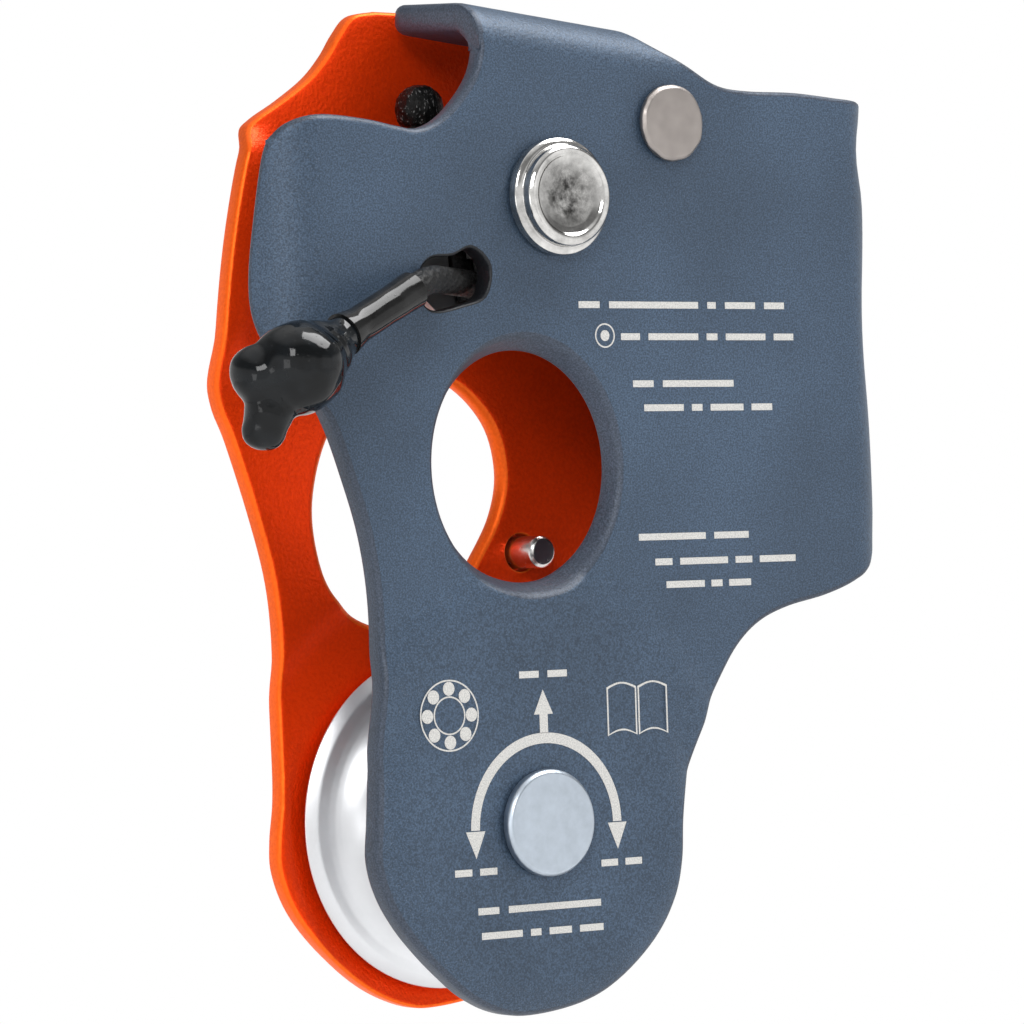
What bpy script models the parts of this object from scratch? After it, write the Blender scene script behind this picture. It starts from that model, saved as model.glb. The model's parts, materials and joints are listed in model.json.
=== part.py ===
"""Rope pulley with a swinging rear plate, a ball-bearing sheave and a toothed rope cam.

Frame: origin at the centre of the carabiner eye on the mid-plane, +X to the rope channel,
+Y to the rear (swinging) plate, +Z away from the sheave. Lengths below are in millimetres
and become metres through MM.
"""

import math

import bmesh
import bpy
from mathutils import Matrix, Vector

MM = 0.001
GAP = 0.3

# Overall stack along Y. The plates stand wider apart around the sheave than above it.
SHEAVE_HALF = 9.2
STEP_IN = 0.7
FRONT_T = 2.2
EYE_X = 0.5
EYE_HALF = (9.5, 10.15)
EYE_FLARE = (0.105, 0.163)
REAR_T = 2.0
STEP_RADII = (20.4, 23.2)
RIM_ROLL = 1.1
RIM_ROLL_FROM = 14.6

# Axes, as (x, z).
SHEAVE_AT = (0.5, -32.0)
CAM_AT = (4.4, 24.2)
STOP_AT = (17.6, 31.2)
REAR_PIN_AT = (10.3, -7.7)

# Sheave and bearing, radii from the axle outwards.
AXLE_R = 3.5
INNER_RACE = (3.8, 4.5)
BALL_R = 1.1
BALLS = 8
BALL_PITCH_R = 5.9
OUTER_RACE = (7.3, 8.0)
RACE_HALF = 2.6
SHEAVE_BORE_R = 8.3
GROOVE_R = 9.9
SHEAVE_R = 15.6
SHEAVE_WIDTH_HALF = 6.6

# Front plate folds: radius of the middle of the sheet, then the angle.
CHANNEL_X = 42.8
CHANNEL_FOLD_R = 3.0
WALL_END_Y = 6.0
FLANGE_FOLD_R = 3.5
FLANGE_ANGLE = math.radians(85)
FLANGE_START_Z = 37.4
FLANGE_SLOPE = -0.106
FLANGE_LENGTH = 15.0
FLANGE_EXTRA = 0.5
LOBE_X = -20.5
LOBE_FOLD_R = 4.4
LOBE_ANGLE = math.radians(60)

# Cam.
CAM_FACES = (-4.3, 3.6)
CAM_HUB_R = 5.6
CAM_TIP_R = 34.8
CAM_SPIRAL = 0.62
CAM_ARC = (math.radians(-13), math.radians(18))
CAM_TEETH = 12
TOOTH_DEPTH = 0.9
CAM_BORE_R = 4.2

# Release cord: it leaves the slot along PULL and its knot hangs outside.
CORD_R = 1.25
PULL = Vector((-0.8, -0.6, 0.0))
CORD_INNER_END = Vector((-1.7, -3.55, 16.6))
CORD_BEND = [(-10.6, -10.2, 16.5), (-12.6, -11.6, 16.1)]
SLEEVE_START = Vector((-14.4, -12.5, 15.4))
SLEEVE_END = Vector((-23.0, -14.3, 11.4))
KNOT_AT = Vector((-28.8, -15.5, 8.4))

# The hole through the cam's ear that holds the cord's other end.
CORD_TOP = Vector((-3.25, 2.75, 32.0))
CORD_FOOT = Vector((-0.1, -2.2, 13.2))


def clear_scene():
    for obj in list(bpy.data.objects):
        bpy.data.objects.remove(obj, do_unlink=True)


def new_collection(name):
    found = bpy.data.collections.new(name)
    bpy.context.scene.collection.children.link(found)
    return found


def material(name, colour, roughness, metallic):
    made = bpy.data.materials.new(name)
    made.use_nodes = True
    shader = made.node_tree.nodes["Principled BSDF"]
    shader.inputs["Base Color"].default_value = (*colour, 1)
    shader.inputs["Roughness"].default_value = roughness
    shader.inputs["Metallic"].default_value = metallic
    made.diffuse_color = (*colour, 1)
    return made


def smoothstep(low, high, value):
    t = min(max((value - low) / (high - low), 0.0), 1.0)
    return t * t * (3 - 2 * t)


def spline_span(p0, p1, p2, p3, steps):
    """Points of one Catmull-Rom span, from p1 up to but not including p2."""
    made = []
    for s in range(steps):
        t = s / steps
        bend_2 = (2 * p0 - 5 * p1 + 4 * p2 - p3) * t * t
        bend_3 = (3 * p1 - p0 - 3 * p2 + p3) * t ** 3
        made.append(tuple(0.5 * (2 * p1 + (p2 - p0) * t + bend_2 + bend_3)))
    return made


def smooth_loop(points, steps=3):
    """A smooth closed curve through the points."""
    made = []
    count = len(points)
    for i in range(count):
        span = (Vector(points[(i + k) % count]) for k in (-1, 0, 1, 2))
        made += spline_span(*span, steps)
    return made


def open_curve(points, steps=2):
    """A smooth open curve from the first point to the last."""
    run = [Vector(point) for point in points]
    run = [2 * run[0] - run[1]] + run + [2 * run[-1] - run[-2]]
    made = []
    for i in range(len(run) - 3):
        made += spline_span(*run[i : i + 4], steps)
    return made + [points[-1]]


def arc(centre, radius, start, end, steps):
    """Points on a circle from one angle to another, in degrees."""
    made = []
    for i in range(steps + 1):
        a = math.radians(start + (end - start) * i / steps)
        made.append((centre[0] + radius * math.cos(a), centre[1] + radius * math.sin(a)))
    return made


def ellipse(centre, half_x, half_z, steps):
    return [
        (centre[0] + half_x * math.cos(a), centre[1] + half_z * math.sin(a))
        for a in (2 * math.pi * i / steps for i in range(steps))
    ]


def circle(centre, radius, steps=24):
    return ellipse(centre, radius, radius, steps)


def mesh_of(obj):
    """The evaluated mesh of an object, welded and in world space. The object is removed."""
    graph = bpy.context.evaluated_depsgraph_get()
    mesh = bpy.data.meshes.new_from_object(obj.evaluated_get(graph))
    work = bmesh.new()
    work.from_mesh(mesh)
    bmesh.ops.transform(work, matrix=obj.matrix_world.copy(), verts=work.verts)
    bmesh.ops.remove_doubles(work, verts=work.verts, dist=1e-7)
    bmesh.ops.recalc_face_normals(work, faces=work.faces)
    work.to_mesh(mesh)
    work.free()
    bpy.data.objects.remove(obj, do_unlink=True)
    return mesh


def place(name, mesh, where, look, sharp=35):
    """A mesh in world space as a finished part, shaded smooth."""
    obj = bpy.data.objects.new(name, mesh)
    where.objects.link(obj)
    mesh.materials.clear()
    mesh.materials.append(look)
    mesh.shade_smooth()
    mesh.set_sharp_from_angle(angle=math.radians(sharp))
    return obj


def set_origin(obj, at):
    """Moves the object's origin to a point in millimetres, and leaves its shape where it is."""
    target = Vector(at) * MM
    obj.data.transform(Matrix.Translation(obj.location - target))
    obj.location = target


def extruded(name, loops, front, rear, where):
    """A flat outline in XZ, with holes, given thickness from front to rear along Y."""
    curve = bpy.data.curves.new(name, "CURVE")
    curve.dimensions = "2D"
    curve.fill_mode = "BOTH"
    curve.extrude = (rear - front) / 2 * MM
    for loop in loops:
        spline = curve.splines.new("POLY")
        spline.points.add(len(loop) - 1)
        for point, (x, z) in zip(spline.points, loop):
            point.co = (x * MM, z * MM, 0, 1)
        spline.use_cyclic_u = True
    obj = bpy.data.objects.new(name, curve)
    obj.rotation_euler.x = math.pi / 2
    obj.location.y = (front + rear) / 2 * MM
    where.objects.link(obj)
    bpy.context.view_layer.update()
    return obj


def turned(name, profile, at, where, look, steps=24, ring=False, sharp=35):
    """A profile of (radius, y), from the rear down the outer side to the front, turned about Y."""
    mesh = bpy.data.meshes.new(name)
    points = [(r * MM, 0, y * MM) for r, y in profile]
    edges = [(i, i + 1) for i in range(len(points) - 1)]
    if ring:
        edges.append((len(points) - 1, 0))
    mesh.from_pydata(points, edges, [])
    obj = bpy.data.objects.new(name + "_profile", mesh)
    screw = obj.modifiers.new("turn", "SCREW")
    screw.steps = screw.render_steps = steps
    screw.use_merge_vertices = True
    screw.merge_threshold = 1e-6
    obj.rotation_euler.x = -math.pi / 2
    obj.location = (at[0] * MM, 0, at[1] * MM)
    where.objects.link(obj)
    bpy.context.view_layer.update()
    made = place(name, mesh_of(obj), where, look, sharp)
    set_origin(made, (at[0], 0, at[1]))
    return made


def ring(name, inner, outer, front, rear, at, where, look, steps=24, edge=0.15):
    """A turned sleeve or washer with small chamfers on its outer corners."""
    profile = [
        (inner, rear),
        (outer - edge, rear),
        (outer, rear - edge),
        (outer, front + edge),
        (outer - edge, front),
        (inner, front),
    ]
    return turned(name, profile, at, where, look, steps, ring=True)


def tube(name, points, radius, where, look, sides=2):
    """A round tube through the points, with flat ends."""
    curve = bpy.data.curves.new(name, "CURVE")
    curve.dimensions = "3D"
    curve.bevel_depth = radius * MM
    curve.bevel_resolution = sides
    curve.use_fill_caps = True
    spline = curve.splines.new("POLY")
    spline.points.add(len(points) - 1)
    for made, point in zip(spline.points, points):
        made.co = (*(Vector(point) * MM), 1)
    obj = bpy.data.objects.new(name + "_path", curve)
    where.objects.link(obj)
    bpy.context.view_layer.update()
    return place(name, mesh_of(obj), where, look)


def boolean(obj, other, operation):
    change = obj.modifiers.new(operation.lower(), "BOOLEAN")
    change.operation = operation
    change.object = other


def as_cutter(obj):
    obj.hide_render = True
    obj.display_type = "WIRE"
    return obj


def cylinder_between(name, start, end, radius, where, steps=20):
    """A closed cylinder from one point to another, as a mesh object."""
    start, end = Vector(start), Vector(end)
    along = end - start
    work = bmesh.new()
    bmesh.ops.create_cone(
        work,
        cap_ends=True,
        segments=steps,
        radius1=radius * MM,
        radius2=radius * MM,
        depth=along.length * MM,
    )
    turn = along.to_track_quat("Z", "Y").to_matrix().to_4x4()
    move = Matrix.Translation((start + end) / 2 * MM)
    bmesh.ops.transform(work, matrix=move @ turn, verts=work.verts)
    mesh = bpy.data.meshes.new(name)
    work.to_mesh(mesh)
    work.free()
    obj = bpy.data.objects.new(name, mesh)
    where.objects.link(obj)
    return obj


def box_between(name, low, high, where):
    work = bmesh.new()
    bmesh.ops.create_cube(work, size=1)
    low, high = Vector(low) * MM, Vector(high) * MM
    size = Matrix.Diagonal((*(high - low), 1))
    bmesh.ops.transform(work, matrix=Matrix.Translation((low + high) / 2) @ size, verts=work.verts)
    mesh = bpy.data.meshes.new(name)
    work.to_mesh(mesh)
    work.free()
    obj = bpy.data.objects.new(name, mesh)
    where.objects.link(obj)
    return obj


# ---------------------------------------------------------------- sheet plates


def sheet(name, loops, thickness, x_lines, z_lines, cutters):
    """A flat plate about y = 0, cut to its outline, whose faces are split along the given lines."""
    xs = [x for x, _ in loops[0]]
    zs = [z for _, z in loops[0]]
    margin = 3
    slab = box_between(
        name + "_slab",
        (min(xs) - margin, -thickness / 2, min(zs) - margin),
        (max(xs) + margin, thickness / 2, max(zs) + margin),
        cutters,
    )
    work = bmesh.new()
    work.from_mesh(slab.data)
    lines = [(x, 0, 0) for x in x_lines] + [(0, 0, z) for z in z_lines]
    for line in lines:
        normal = (1, 0, 0) if line[0] else (0, 0, 1)
        bmesh.ops.bisect_plane(
            work,
            geom=work.verts[:] + work.edges[:] + work.faces[:],
            plane_co=Vector(line) * MM,
            plane_no=normal,
        )
    work.to_mesh(slab.data)
    work.free()
    blank = extruded(name + "_blank", loops, -3 * thickness, 3 * thickness, cutters)
    outline = bpy.data.objects.new(name + "_outline", mesh_of(blank))
    cutters.objects.link(outline)
    boolean(slab, outline, "INTERSECT")
    bpy.context.view_layer.update()
    mesh = mesh_of(slab)
    bpy.data.objects.remove(outline, do_unlink=True)
    return mesh


def bend(mesh, shape):
    """Moves every point of a triangulated sheet by shape(x, y, z), all in millimetres."""
    work = bmesh.new()
    work.from_mesh(mesh)
    bmesh.ops.triangulate(work, faces=work.faces)
    for vert in work.verts:
        vert.co = Vector(shape(*(vert.co / MM))) * MM
    bmesh.ops.recalc_face_normals(work, faces=work.faces)
    work.to_mesh(mesh)
    work.free()
    return mesh


def fold(along, offset, radius, angle):
    """Where a point of the sheet lands once a fold has turned it: (along, depth)."""
    turn = min(along / radius, angle)
    rest = along - turn * radius
    out = radius * math.sin(turn) + rest * math.cos(turn)
    back = radius * (1 - math.cos(turn)) + rest * math.sin(turn)
    return out - offset * math.sin(turn), back + offset * math.cos(turn)


def plate_depth(x, z):
    """How far the outer face of either plate stands from the mid-plane, before any fold."""
    radius = math.hypot(x - SHEAVE_AT[0], z - SHEAVE_AT[1])
    stand = SHEAVE_HALF - STEP_IN * smoothstep(*STEP_RADII, radius)
    low = 1 - smoothstep(SHEAVE_AT[1], SHEAVE_AT[1] + 14, z)
    roll = RIM_ROLL * (max(radius - RIM_ROLL_FROM, 0) / 3) ** 2
    return stand - min(roll, RIM_ROLL) * low


def wall_wave(z):
    """The channel wall's two shallow inward waves and its drawn-in foot."""
    upper = 1.15 * math.exp(-(((z - 29) / 3.0) ** 2))
    lower = 1.05 * math.exp(-(((z - 12.5) / 7.0) ** 2))
    return upper + lower + 0.35 * (1 - smoothstep(-9, -4, z))


def eye_flare(x, y, z):
    """Widens the eye towards the plate's front face, as a broad coined edge."""
    around = math.hypot((x - EYE_X) / EYE_HALF[0], z / EYE_HALF[1])
    near = min(max((1.35 - around) / 0.35, 0), 1)
    share = near * (0.5 - y / FRONT_T)
    return EYE_X + (x - EYE_X) * (1 + EYE_FLARE[0] * share), z * (1 + EYE_FLARE[1] * share)


def front_shape(x, y, z):
    """Folds the flat front plate: channel wall, top flange and left lobe."""
    x, z = eye_flare(x, y, z)
    depth = -plate_depth(x, z) + FRONT_T / 2
    fold_x = CHANNEL_X - CHANNEL_FOLD_R - FRONT_T / 2
    if x > fold_x:
        out, back = fold(x - fold_x, y, CHANNEL_FOLD_R, math.pi / 2)
        wave = wall_wave(z) * smoothstep(0, CHANNEL_FOLD_R * 1.5, x - fold_x)
        return fold_x + out - wave, depth + back, z
    if x < LOBE_X:
        out, back = fold(LOBE_X - x, y, LOBE_FOLD_R, LOBE_ANGLE)
        return LOBE_X - out, depth + back, z
    start = FLANGE_START_Z + FLANGE_SLOPE * (x + 3)
    reach = (z - start) * (1 - smoothstep(17, 25, x))
    if reach > 0:
        thicken = FLANGE_EXTRA * smoothstep(0, 3, reach) if y > 0 else 0
        out, back = fold(reach, y + thicken, FLANGE_FOLD_R, FLANGE_ANGLE)
        return x, depth + back, z - reach + out
    return x, depth + y, z


FRONT_OUTLINE_LEFT = [
    (-3.1, 38.0), (-3.8, 35.4), (-5.5, 33.0), (-7.8, 31.0), (-10.2, 30.1), (-12.5, 30.3),
    (-15.6, 30.8), (-19.9, 31.1), (-22.4, 30.7), (-24.2, 29.6), (-25.2, 27.6), (-26.2, 22.4),
    (-26.9, 17.2), (-26.7, 13.6), (-25.4, 10.6), (-23.1, 7.4), (-20.6, 4.2), (-18.6, -0.8),
    (-17.0, -6.0), (-16.2, -11.5), (-16.2, -17.5), (-16.8, -24.0),
]
FRONT_OUTLINE_RIGHT = [
    (17.7, -28.4), (19.8, -23.6), (21.8, -19.9), (24.0, -16.9), (26.7, -14.8), (30.2, -13.5),
    (34.6, -12.6), (37.8, -11.6), (39.9, -10.4), (41.8, -8.4), (44.8, -6.9),
]
FRONT_END = [
    (-16.7, -27.2), (-16.9, -31.0), (-17.0, -34.6), (-16.1, -37.8), (-14.5, -40.6), (-12.5, -43.0),
    (-10.2, -45.2), (-7.6, -47.2), (-4.4, -48.7), (-0.9, -49.2), (4.6, -48.5), (8.8, -46.8),
    (13.3, -43.3), (15.7, -39.8), (16.5, -36.4), (16.7, -32.4),
]


def front_outline():
    """The flat blank, anticlockwise from the left foot of the top flange."""
    flange_top = FLANGE_START_Z + FLANGE_LENGTH
    wall_end = CHANNEL_X - CHANNEL_FOLD_R - FRONT_T / 2 + CHANNEL_FOLD_R * math.pi / 2
    wall_end += WALL_END_Y + SHEAVE_HALF - STEP_IN - CHANNEL_FOLD_R - FRONT_T / 2
    wall_foot = arc((wall_end - 3.5, -2.9), 3.5, 280, 360, 5)
    wall_head = arc((wall_end - 2.5, 30.9), 2.5, 0, 90, 3)
    shoulder = open_curve(
        [(38.6, 34.1), (33.0, 34.5), (27.3, 34.5), (23.8, 34.9), (20.6, 36.3), (16.8, 38.3), (15.0, 40.4)], 2
    )
    flange_end = arc((12.0, flange_top - 3.6), 2.6, 20, 90, 3)
    flange_tip = arc((-1.6, flange_top - 1.9), 2.0, 90, 180, 3)
    return (
        open_curve(FRONT_OUTLINE_LEFT + FRONT_END + FRONT_OUTLINE_RIGHT, 2)
        + wall_foot
        + wall_head
        + shoulder
        + flange_end
        + flange_tip
    )


SLOT_OUTLINE = [
    (-10.6, 17.2), (-9.4, 18.5), (-7.0, 18.8), (-4.9, 19.5), (-3.1, 17.9), (-3.7, 15.3),
    (-6.2, 14.4), (-9.2, 13.9), (-10.6, 15.0),
]


def fold_lines(start, radius, angle, count, sign=1):
    return [start + sign * radius * angle * i / count for i in range(count + 1)]


def front_plate(where, cutters, look):
    fold_x = CHANNEL_X - CHANNEL_FOLD_R - FRONT_T / 2
    holes = [
        ellipse((EYE_X, 0.0), *EYE_HALF, 36),
        circle(SHEAVE_AT, AXLE_R + GAP),
        circle(CAM_AT, 3.0 + GAP),
        circle(STOP_AT, 2.2 + GAP, 16),
        smooth_loop(SLOT_OUTLINE, 2),
    ]
    x_lines = fold_lines(fold_x, CHANNEL_FOLD_R, math.pi / 2, 5)
    x_lines += fold_lines(LOBE_X, LOBE_FOLD_R, LOBE_ANGLE, 4, -1)
    x_lines += [-16, -12, -8, -4, 0.1, 4, 8, 12, 16, 20, 24]
    z_lines = fold_lines(FLANGE_START_Z - 0.6, FLANGE_FOLD_R, FLANGE_ANGLE + 0.5, 7)
    z_lines += [-46, -43, -40, -37, -33, -29, -25, -21, -17, -14, -11.5, -9, -5, 1, 5, 9, 13, 17, 21]
    z_lines += [24, 26.5, 29, 31.5, 34.5]
    mesh = sheet("front_plate", [front_outline()] + holes, FRONT_T, x_lines, z_lines, cutters)
    return place("front_plate", bend(mesh, front_shape), where, look, sharp=45)


REAR_OUTLINE_LEFT = [
    (-4.2, 42.3), (-6.6, 41.8), (-8.2, 40.1), (-9.6, 38.1), (-11.6, 36.0), (-14.6, 33.9),
    (-17.4, 32.2), (-18.8, 30.8), (-20.1, 27.4), (-21.8, 19.5), (-22.9, 10.5), (-22.5, 6.4),
    (-21.1, 3.0), (-19.0, -3.2), (-17.4, -9.0), (-16.8, -14.0), (-16.8, -20.0), (-17.1, -26.0),
]
REAR_END = [
    (-17.4, -29.6), (-17.9, -33.0), (-17.8, -36.0), (-16.3, -39.6), (-13.3, -43.2), (-8.9, -46.8),
    (-4.6, -48.8), (-0.9, -49.2), (4.6, -48.5), (8.8, -46.8), (13.3, -43.3), (15.7, -39.8),
    (16.5, -36.4), (16.7, -32.4),
]
REAR_OUTLINE_RIGHT = [
    (17.7, -28.4), (19.8, -23.6), (21.8, -19.9), (24.0, -16.9), (26.7, -14.8), (30.2, -13.5),
    (34.5, -12.8),
]
REAR_EYE = [
    (-2.2, 9.2), (3.2, 8.0), (7.2, 4.4), (8.5, 0.0), (7.7, -4.0), (5.4, -7.8), (2.4, -11.6),
    (-2.0, -14.4), (-7.0, -13.6), (-10.5, -11.0), (-12.1, -7.4), (-12.5, -2.6), (-10.9, 2.8),
    (-7.5, 7.2),
]


def rear_outline():
    foot = arc((37.0, -8.6), 4.0, 270, 360, 4)
    head = arc((36.5, 28.6), 4.5, 0, 90, 4)
    top = open_curve([(32.0, 33.6), (24.0, 35.2), (17.0, 38.6), (9.0, 41.6), (2.0, 42.3)], 2)
    sides = open_curve(REAR_OUTLINE_LEFT + REAR_END + REAR_OUTLINE_RIGHT, 2)
    return sides + foot + head + top


def rear_lip(x, z):
    """The left margin above the eye bulges forward as a shallow finger lip."""
    edge = -18.5 - (30.8 - z) * 0.19
    near = 1 - smoothstep(0.5, 4.5, x - edge)
    tall = smoothstep(7, 13, z) * (1 - smoothstep(29.0, 31.6, z))
    return 1.6 * near * tall


def rear_shape(x, y, z):
    return x, plate_depth(x, z) - REAR_T / 2 + y - rear_lip(x, z), z


def rear_plate(where, cutters, look):
    holes = [
        smooth_loop(REAR_EYE, 3),
        circle(SHEAVE_AT, 5.2),
        circle(REAR_PIN_AT, 1.5 + GAP, 14),
    ]
    x_lines = [-20, -18, -16, -12, -8, -4, 0.1, 4, 8, 12, 16, 20]
    z_lines = [-46, -43, -40, -37, -33, -29, -25, -21, -17, -14, -11.5, -9, -5, 1, 7, 10, 13, 20]
    z_lines += [27, 29, 30.3, 31.6]
    mesh = sheet("rear_plate", [rear_outline()] + holes, REAR_T, x_lines, z_lines, cutters)
    made = place("rear_plate", bend(mesh, rear_shape), where, look, sharp=45)
    set_origin(made, (SHEAVE_AT[0], 0, SHEAVE_AT[1]))
    return made


# ---------------------------------------------------------------- sheave and its bearing


def sheave(where, look):
    half = SHEAVE_WIDTH_HALF
    lip = 1.1
    groove = []
    for i in range(9):
        t = -1 + 2 * i / 8
        depth = (SHEAVE_R - GROOVE_R - 0.5) * math.sqrt(1 - (0.985 * t) ** 2)
        groove.append((SHEAVE_R - 0.5 - depth, -t * (half - lip)))
    profile = [(SHEAVE_BORE_R, half - 1.4), (10.6, half - 0.9), (13.4, half), (SHEAVE_R - 0.4, half)]
    profile += [(SHEAVE_R, half - 0.4)] + groove + [(SHEAVE_R, -half + 0.4)]
    profile += [(SHEAVE_R - 0.4, -half), (13.4, -half), (10.6, -half + 0.9), (SHEAVE_BORE_R, -half + 1.4)]
    turned("sheave", profile, SHEAVE_AT, where, look, steps=36, ring=True)


def bearing(where, steel, dark, cage_look, cutters):
    inner, outer = INNER_RACE, OUTER_RACE
    track = 0.25
    half = RACE_HALF
    inner_profile = [
        (inner[0], half), (inner[1], half), (inner[1], 1.0), (inner[1] - track, 0.5),
        (inner[1] - track, -0.5), (inner[1], -1.0), (inner[1], -half), (inner[0], -half),
    ]
    outer_profile = [
        (outer[0], half), (outer[1], half), (outer[1], -half), (outer[0], -half),
        (outer[0], -1.0), (outer[0] + track, -0.5), (outer[0] + track, 0.5), (outer[0], 1.0),
    ]
    turned("bearing_inner_race", inner_profile, SHEAVE_AT, where, steel, ring=True)
    turned("bearing_outer_race", outer_profile, SHEAVE_AT, where, steel, ring=True)
    for side, sign in (("front", -1), ("rear", 1)):
        near, far = sorted((sign * (half + GAP), sign * (half + GAP + 0.6)))
        ring(f"bearing_shield_{side}", 4.9, 7.9, near, far, SHEAVE_AT, where, dark, edge=0.1)
    ring("bearing_cage", 5.3, 6.5, -1.7, 1.0, SHEAVE_AT, where, cage_look, edge=0.1)
    cage = bpy.data.objects["bearing_cage"]
    for i in range(BALLS):
        angle = 2 * math.pi * i / BALLS
        at = Vector((SHEAVE_AT[0] + BALL_PITCH_R * math.cos(angle), 0, SHEAVE_AT[1] + BALL_PITCH_R * math.sin(angle)))
        ball(f"bearing_ball_{i + 1}", at, BALL_R, where, steel, columns=12, rows=8)
        pocket = ball(f"pocket_{i + 1}", at, BALL_R + GAP, cutters, dark)
        boolean(cage, as_cutter(pocket), "DIFFERENCE")


def ball(name, at, radius, where, look, columns=10, rows=7):
    work = bmesh.new()
    bmesh.ops.create_uvsphere(work, u_segments=columns, v_segments=rows, radius=radius * MM)
    mesh = bpy.data.meshes.new(name)
    work.to_mesh(mesh)
    work.free()
    obj = place(name, mesh, where, look, sharp=60)
    obj.location = Vector(at) * MM
    bpy.context.view_layer.update()
    return obj


def sheave_axle(where, look):
    """A pin with a flat head in front and a swaged head behind."""
    head = -SHEAVE_HALF - GAP
    tail = SHEAVE_HALF + GAP + 0.9 + GAP
    profile = [
        (0, tail + 0.9), (3.6, tail + 0.9), (4.6, tail + 0.6), (4.9, tail), (AXLE_R, tail), (AXLE_R, head),
        (4.8, head), (4.8, head - 0.8), (4.5, head - 1.1), (0, head - 1.1),
    ]
    turned("sheave_axle", profile, SHEAVE_AT, where, look, steps=32)
    washer_front = SHEAVE_HALF + GAP
    ring("axle_rear_washer", AXLE_R + GAP, 7.2, washer_front, washer_front + 0.9, SHEAVE_AT, where, look)


def axle_sleeves(where, steel, bronze):
    front_face = -SHEAVE_HALF + FRONT_T + GAP
    rear_face = SHEAVE_HALF - REAR_T - GAP
    inner = AXLE_R + GAP
    end = RACE_HALF + GAP
    ring("axle_spacer_front", inner, 4.5, front_face, -end, SHEAVE_AT, where, steel)
    ring("axle_spacer_rear", inner, 4.5, end, rear_face - 0.4, SHEAVE_AT, where, steel)
    ring("rear_plate_bush", inner, 4.9, rear_face - 0.1, SHEAVE_HALF, SHEAVE_AT, where, bronze)


# ---------------------------------------------------------------- cam


def spiral(angle):
    """The toothed edge's radius, which shrinks as the angle rises."""
    return CAM_TIP_R * math.exp(-CAM_SPIRAL * (angle - CAM_ARC[0]))


def cam_outline():
    def polar(radius, angle):
        return CAM_AT[0] + radius * math.cos(angle), CAM_AT[1] + radius * math.sin(angle)

    low, high = CAM_ARC
    teeth = []
    for i in range(CAM_TEETH):
        tip = high + (low - high) * (i + 0.15) / CAM_TEETH
        root = high + (low - high) * (i + 0.9) / CAM_TEETH
        teeth += [polar(spiral(tip), tip), polar(spiral(root) - TOOTH_DEPTH, root)]
    nose = [polar(spiral(low), low), (37.0, 13.6), (34.4, 12.3)]
    under = open_curve([(31.0, 12.6), (26.0, 14.8), (20.0, 17.4), (13.0, 18.6), (8.0, 16.6), (3.4, 13.0)], 2)
    ear = [(1.6, 12.4), (-2.2, 12.8), (-5.2, 15.4), (-7.0, 18.6), (-7.0, 27.6), (-5.8, 29.4)]
    hub = arc(CAM_AT, CAM_HUB_R, 118, 84, 3)
    upper = open_curve([(10.0, 28.7), (17.6, 28.55), (23.6, 29.2)], 2)
    return ear + hub + upper + teeth + nose + under


def cam(where, cutters, look):
    front, rear = CAM_FACES
    body = extruded("cam_body", [cam_outline(), circle(CAM_AT, CAM_BORE_R)], front, rear, cutters)
    made = place("cam", mesh_of(body), where, look, sharp=30)
    recess = box_between("ear_recess", (-12, -6, 18.7), (-1.0, -1.2, 34), cutters)
    mouth = box_between("ear_mouth", (-12, -6, 8), (1.2, -1.2, 19.0), cutters)
    passage = cylinder_between("ear_passage", CORD_TOP, CORD_FOOT, CORD_R + 0.2, cutters)
    boolean(made, as_cutter(recess), "DIFFERENCE")
    boolean(made, as_cutter(mouth), "DIFFERENCE")
    boolean(made, as_cutter(passage), "DIFFERENCE")
    set_origin(made, (CAM_AT[0], 0, CAM_AT[1]))


def cam_axle(where, steel, bronze):
    """A shouldered pin whose stepped, dished head stands proud of the front plate."""
    face = -SHEAVE_HALF + STEP_IN - GAP
    end = 5.9
    groove = (5.0, 5.6)
    profile = [
        (0, end), (2.7, end), (3.0, end - 0.2), (3.0, groove[1]), (2.3, groove[1]), (2.3, groove[0]),
        (3.0, groove[0]), (3.0, face), (5.3, face), (5.3, face - 0.9), (4.9, face - 1.2),
        (4.6, face - 1.3), (4.5, face - 2.0), (4.1, face - 2.3), (3.6, face - 2.2), (2.6, face - 1.75),
        (1.3, face - 1.5), (0, face - 1.45),
    ]
    turned("cam_axle", profile, CAM_AT, where, steel, steps=28)
    ring("cam_bush", 3.3, 3.9, CAM_FACES[0], CAM_FACES[1] + 0.2, CAM_AT, where, bronze)
    inner_face = -SHEAVE_HALF + STEP_IN + FRONT_T
    ring("cam_washer_front", 3.3, 5.2, inner_face + GAP, CAM_FACES[0] - GAP, CAM_AT, where, steel)
    ring("cam_washer_rear", 3.3, 4.2, CAM_FACES[1] + 0.5, groove[0] - 0.2, CAM_AT, where, steel)


def retaining_ring(where, look):
    """An open ring that snaps into the groove near the cam axle's end."""
    gap_angle = 28
    outer = arc(CAM_AT, 4.0, gap_angle, 360 - gap_angle, 20)
    inner = arc(CAM_AT, 2.6, 360 - gap_angle * 1.4, gap_angle * 1.4, 16)
    body = extruded("ring_body", [outer + inner], 5.1, 5.5, where)
    place("cam_retaining_ring", mesh_of(body), where, look)


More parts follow.
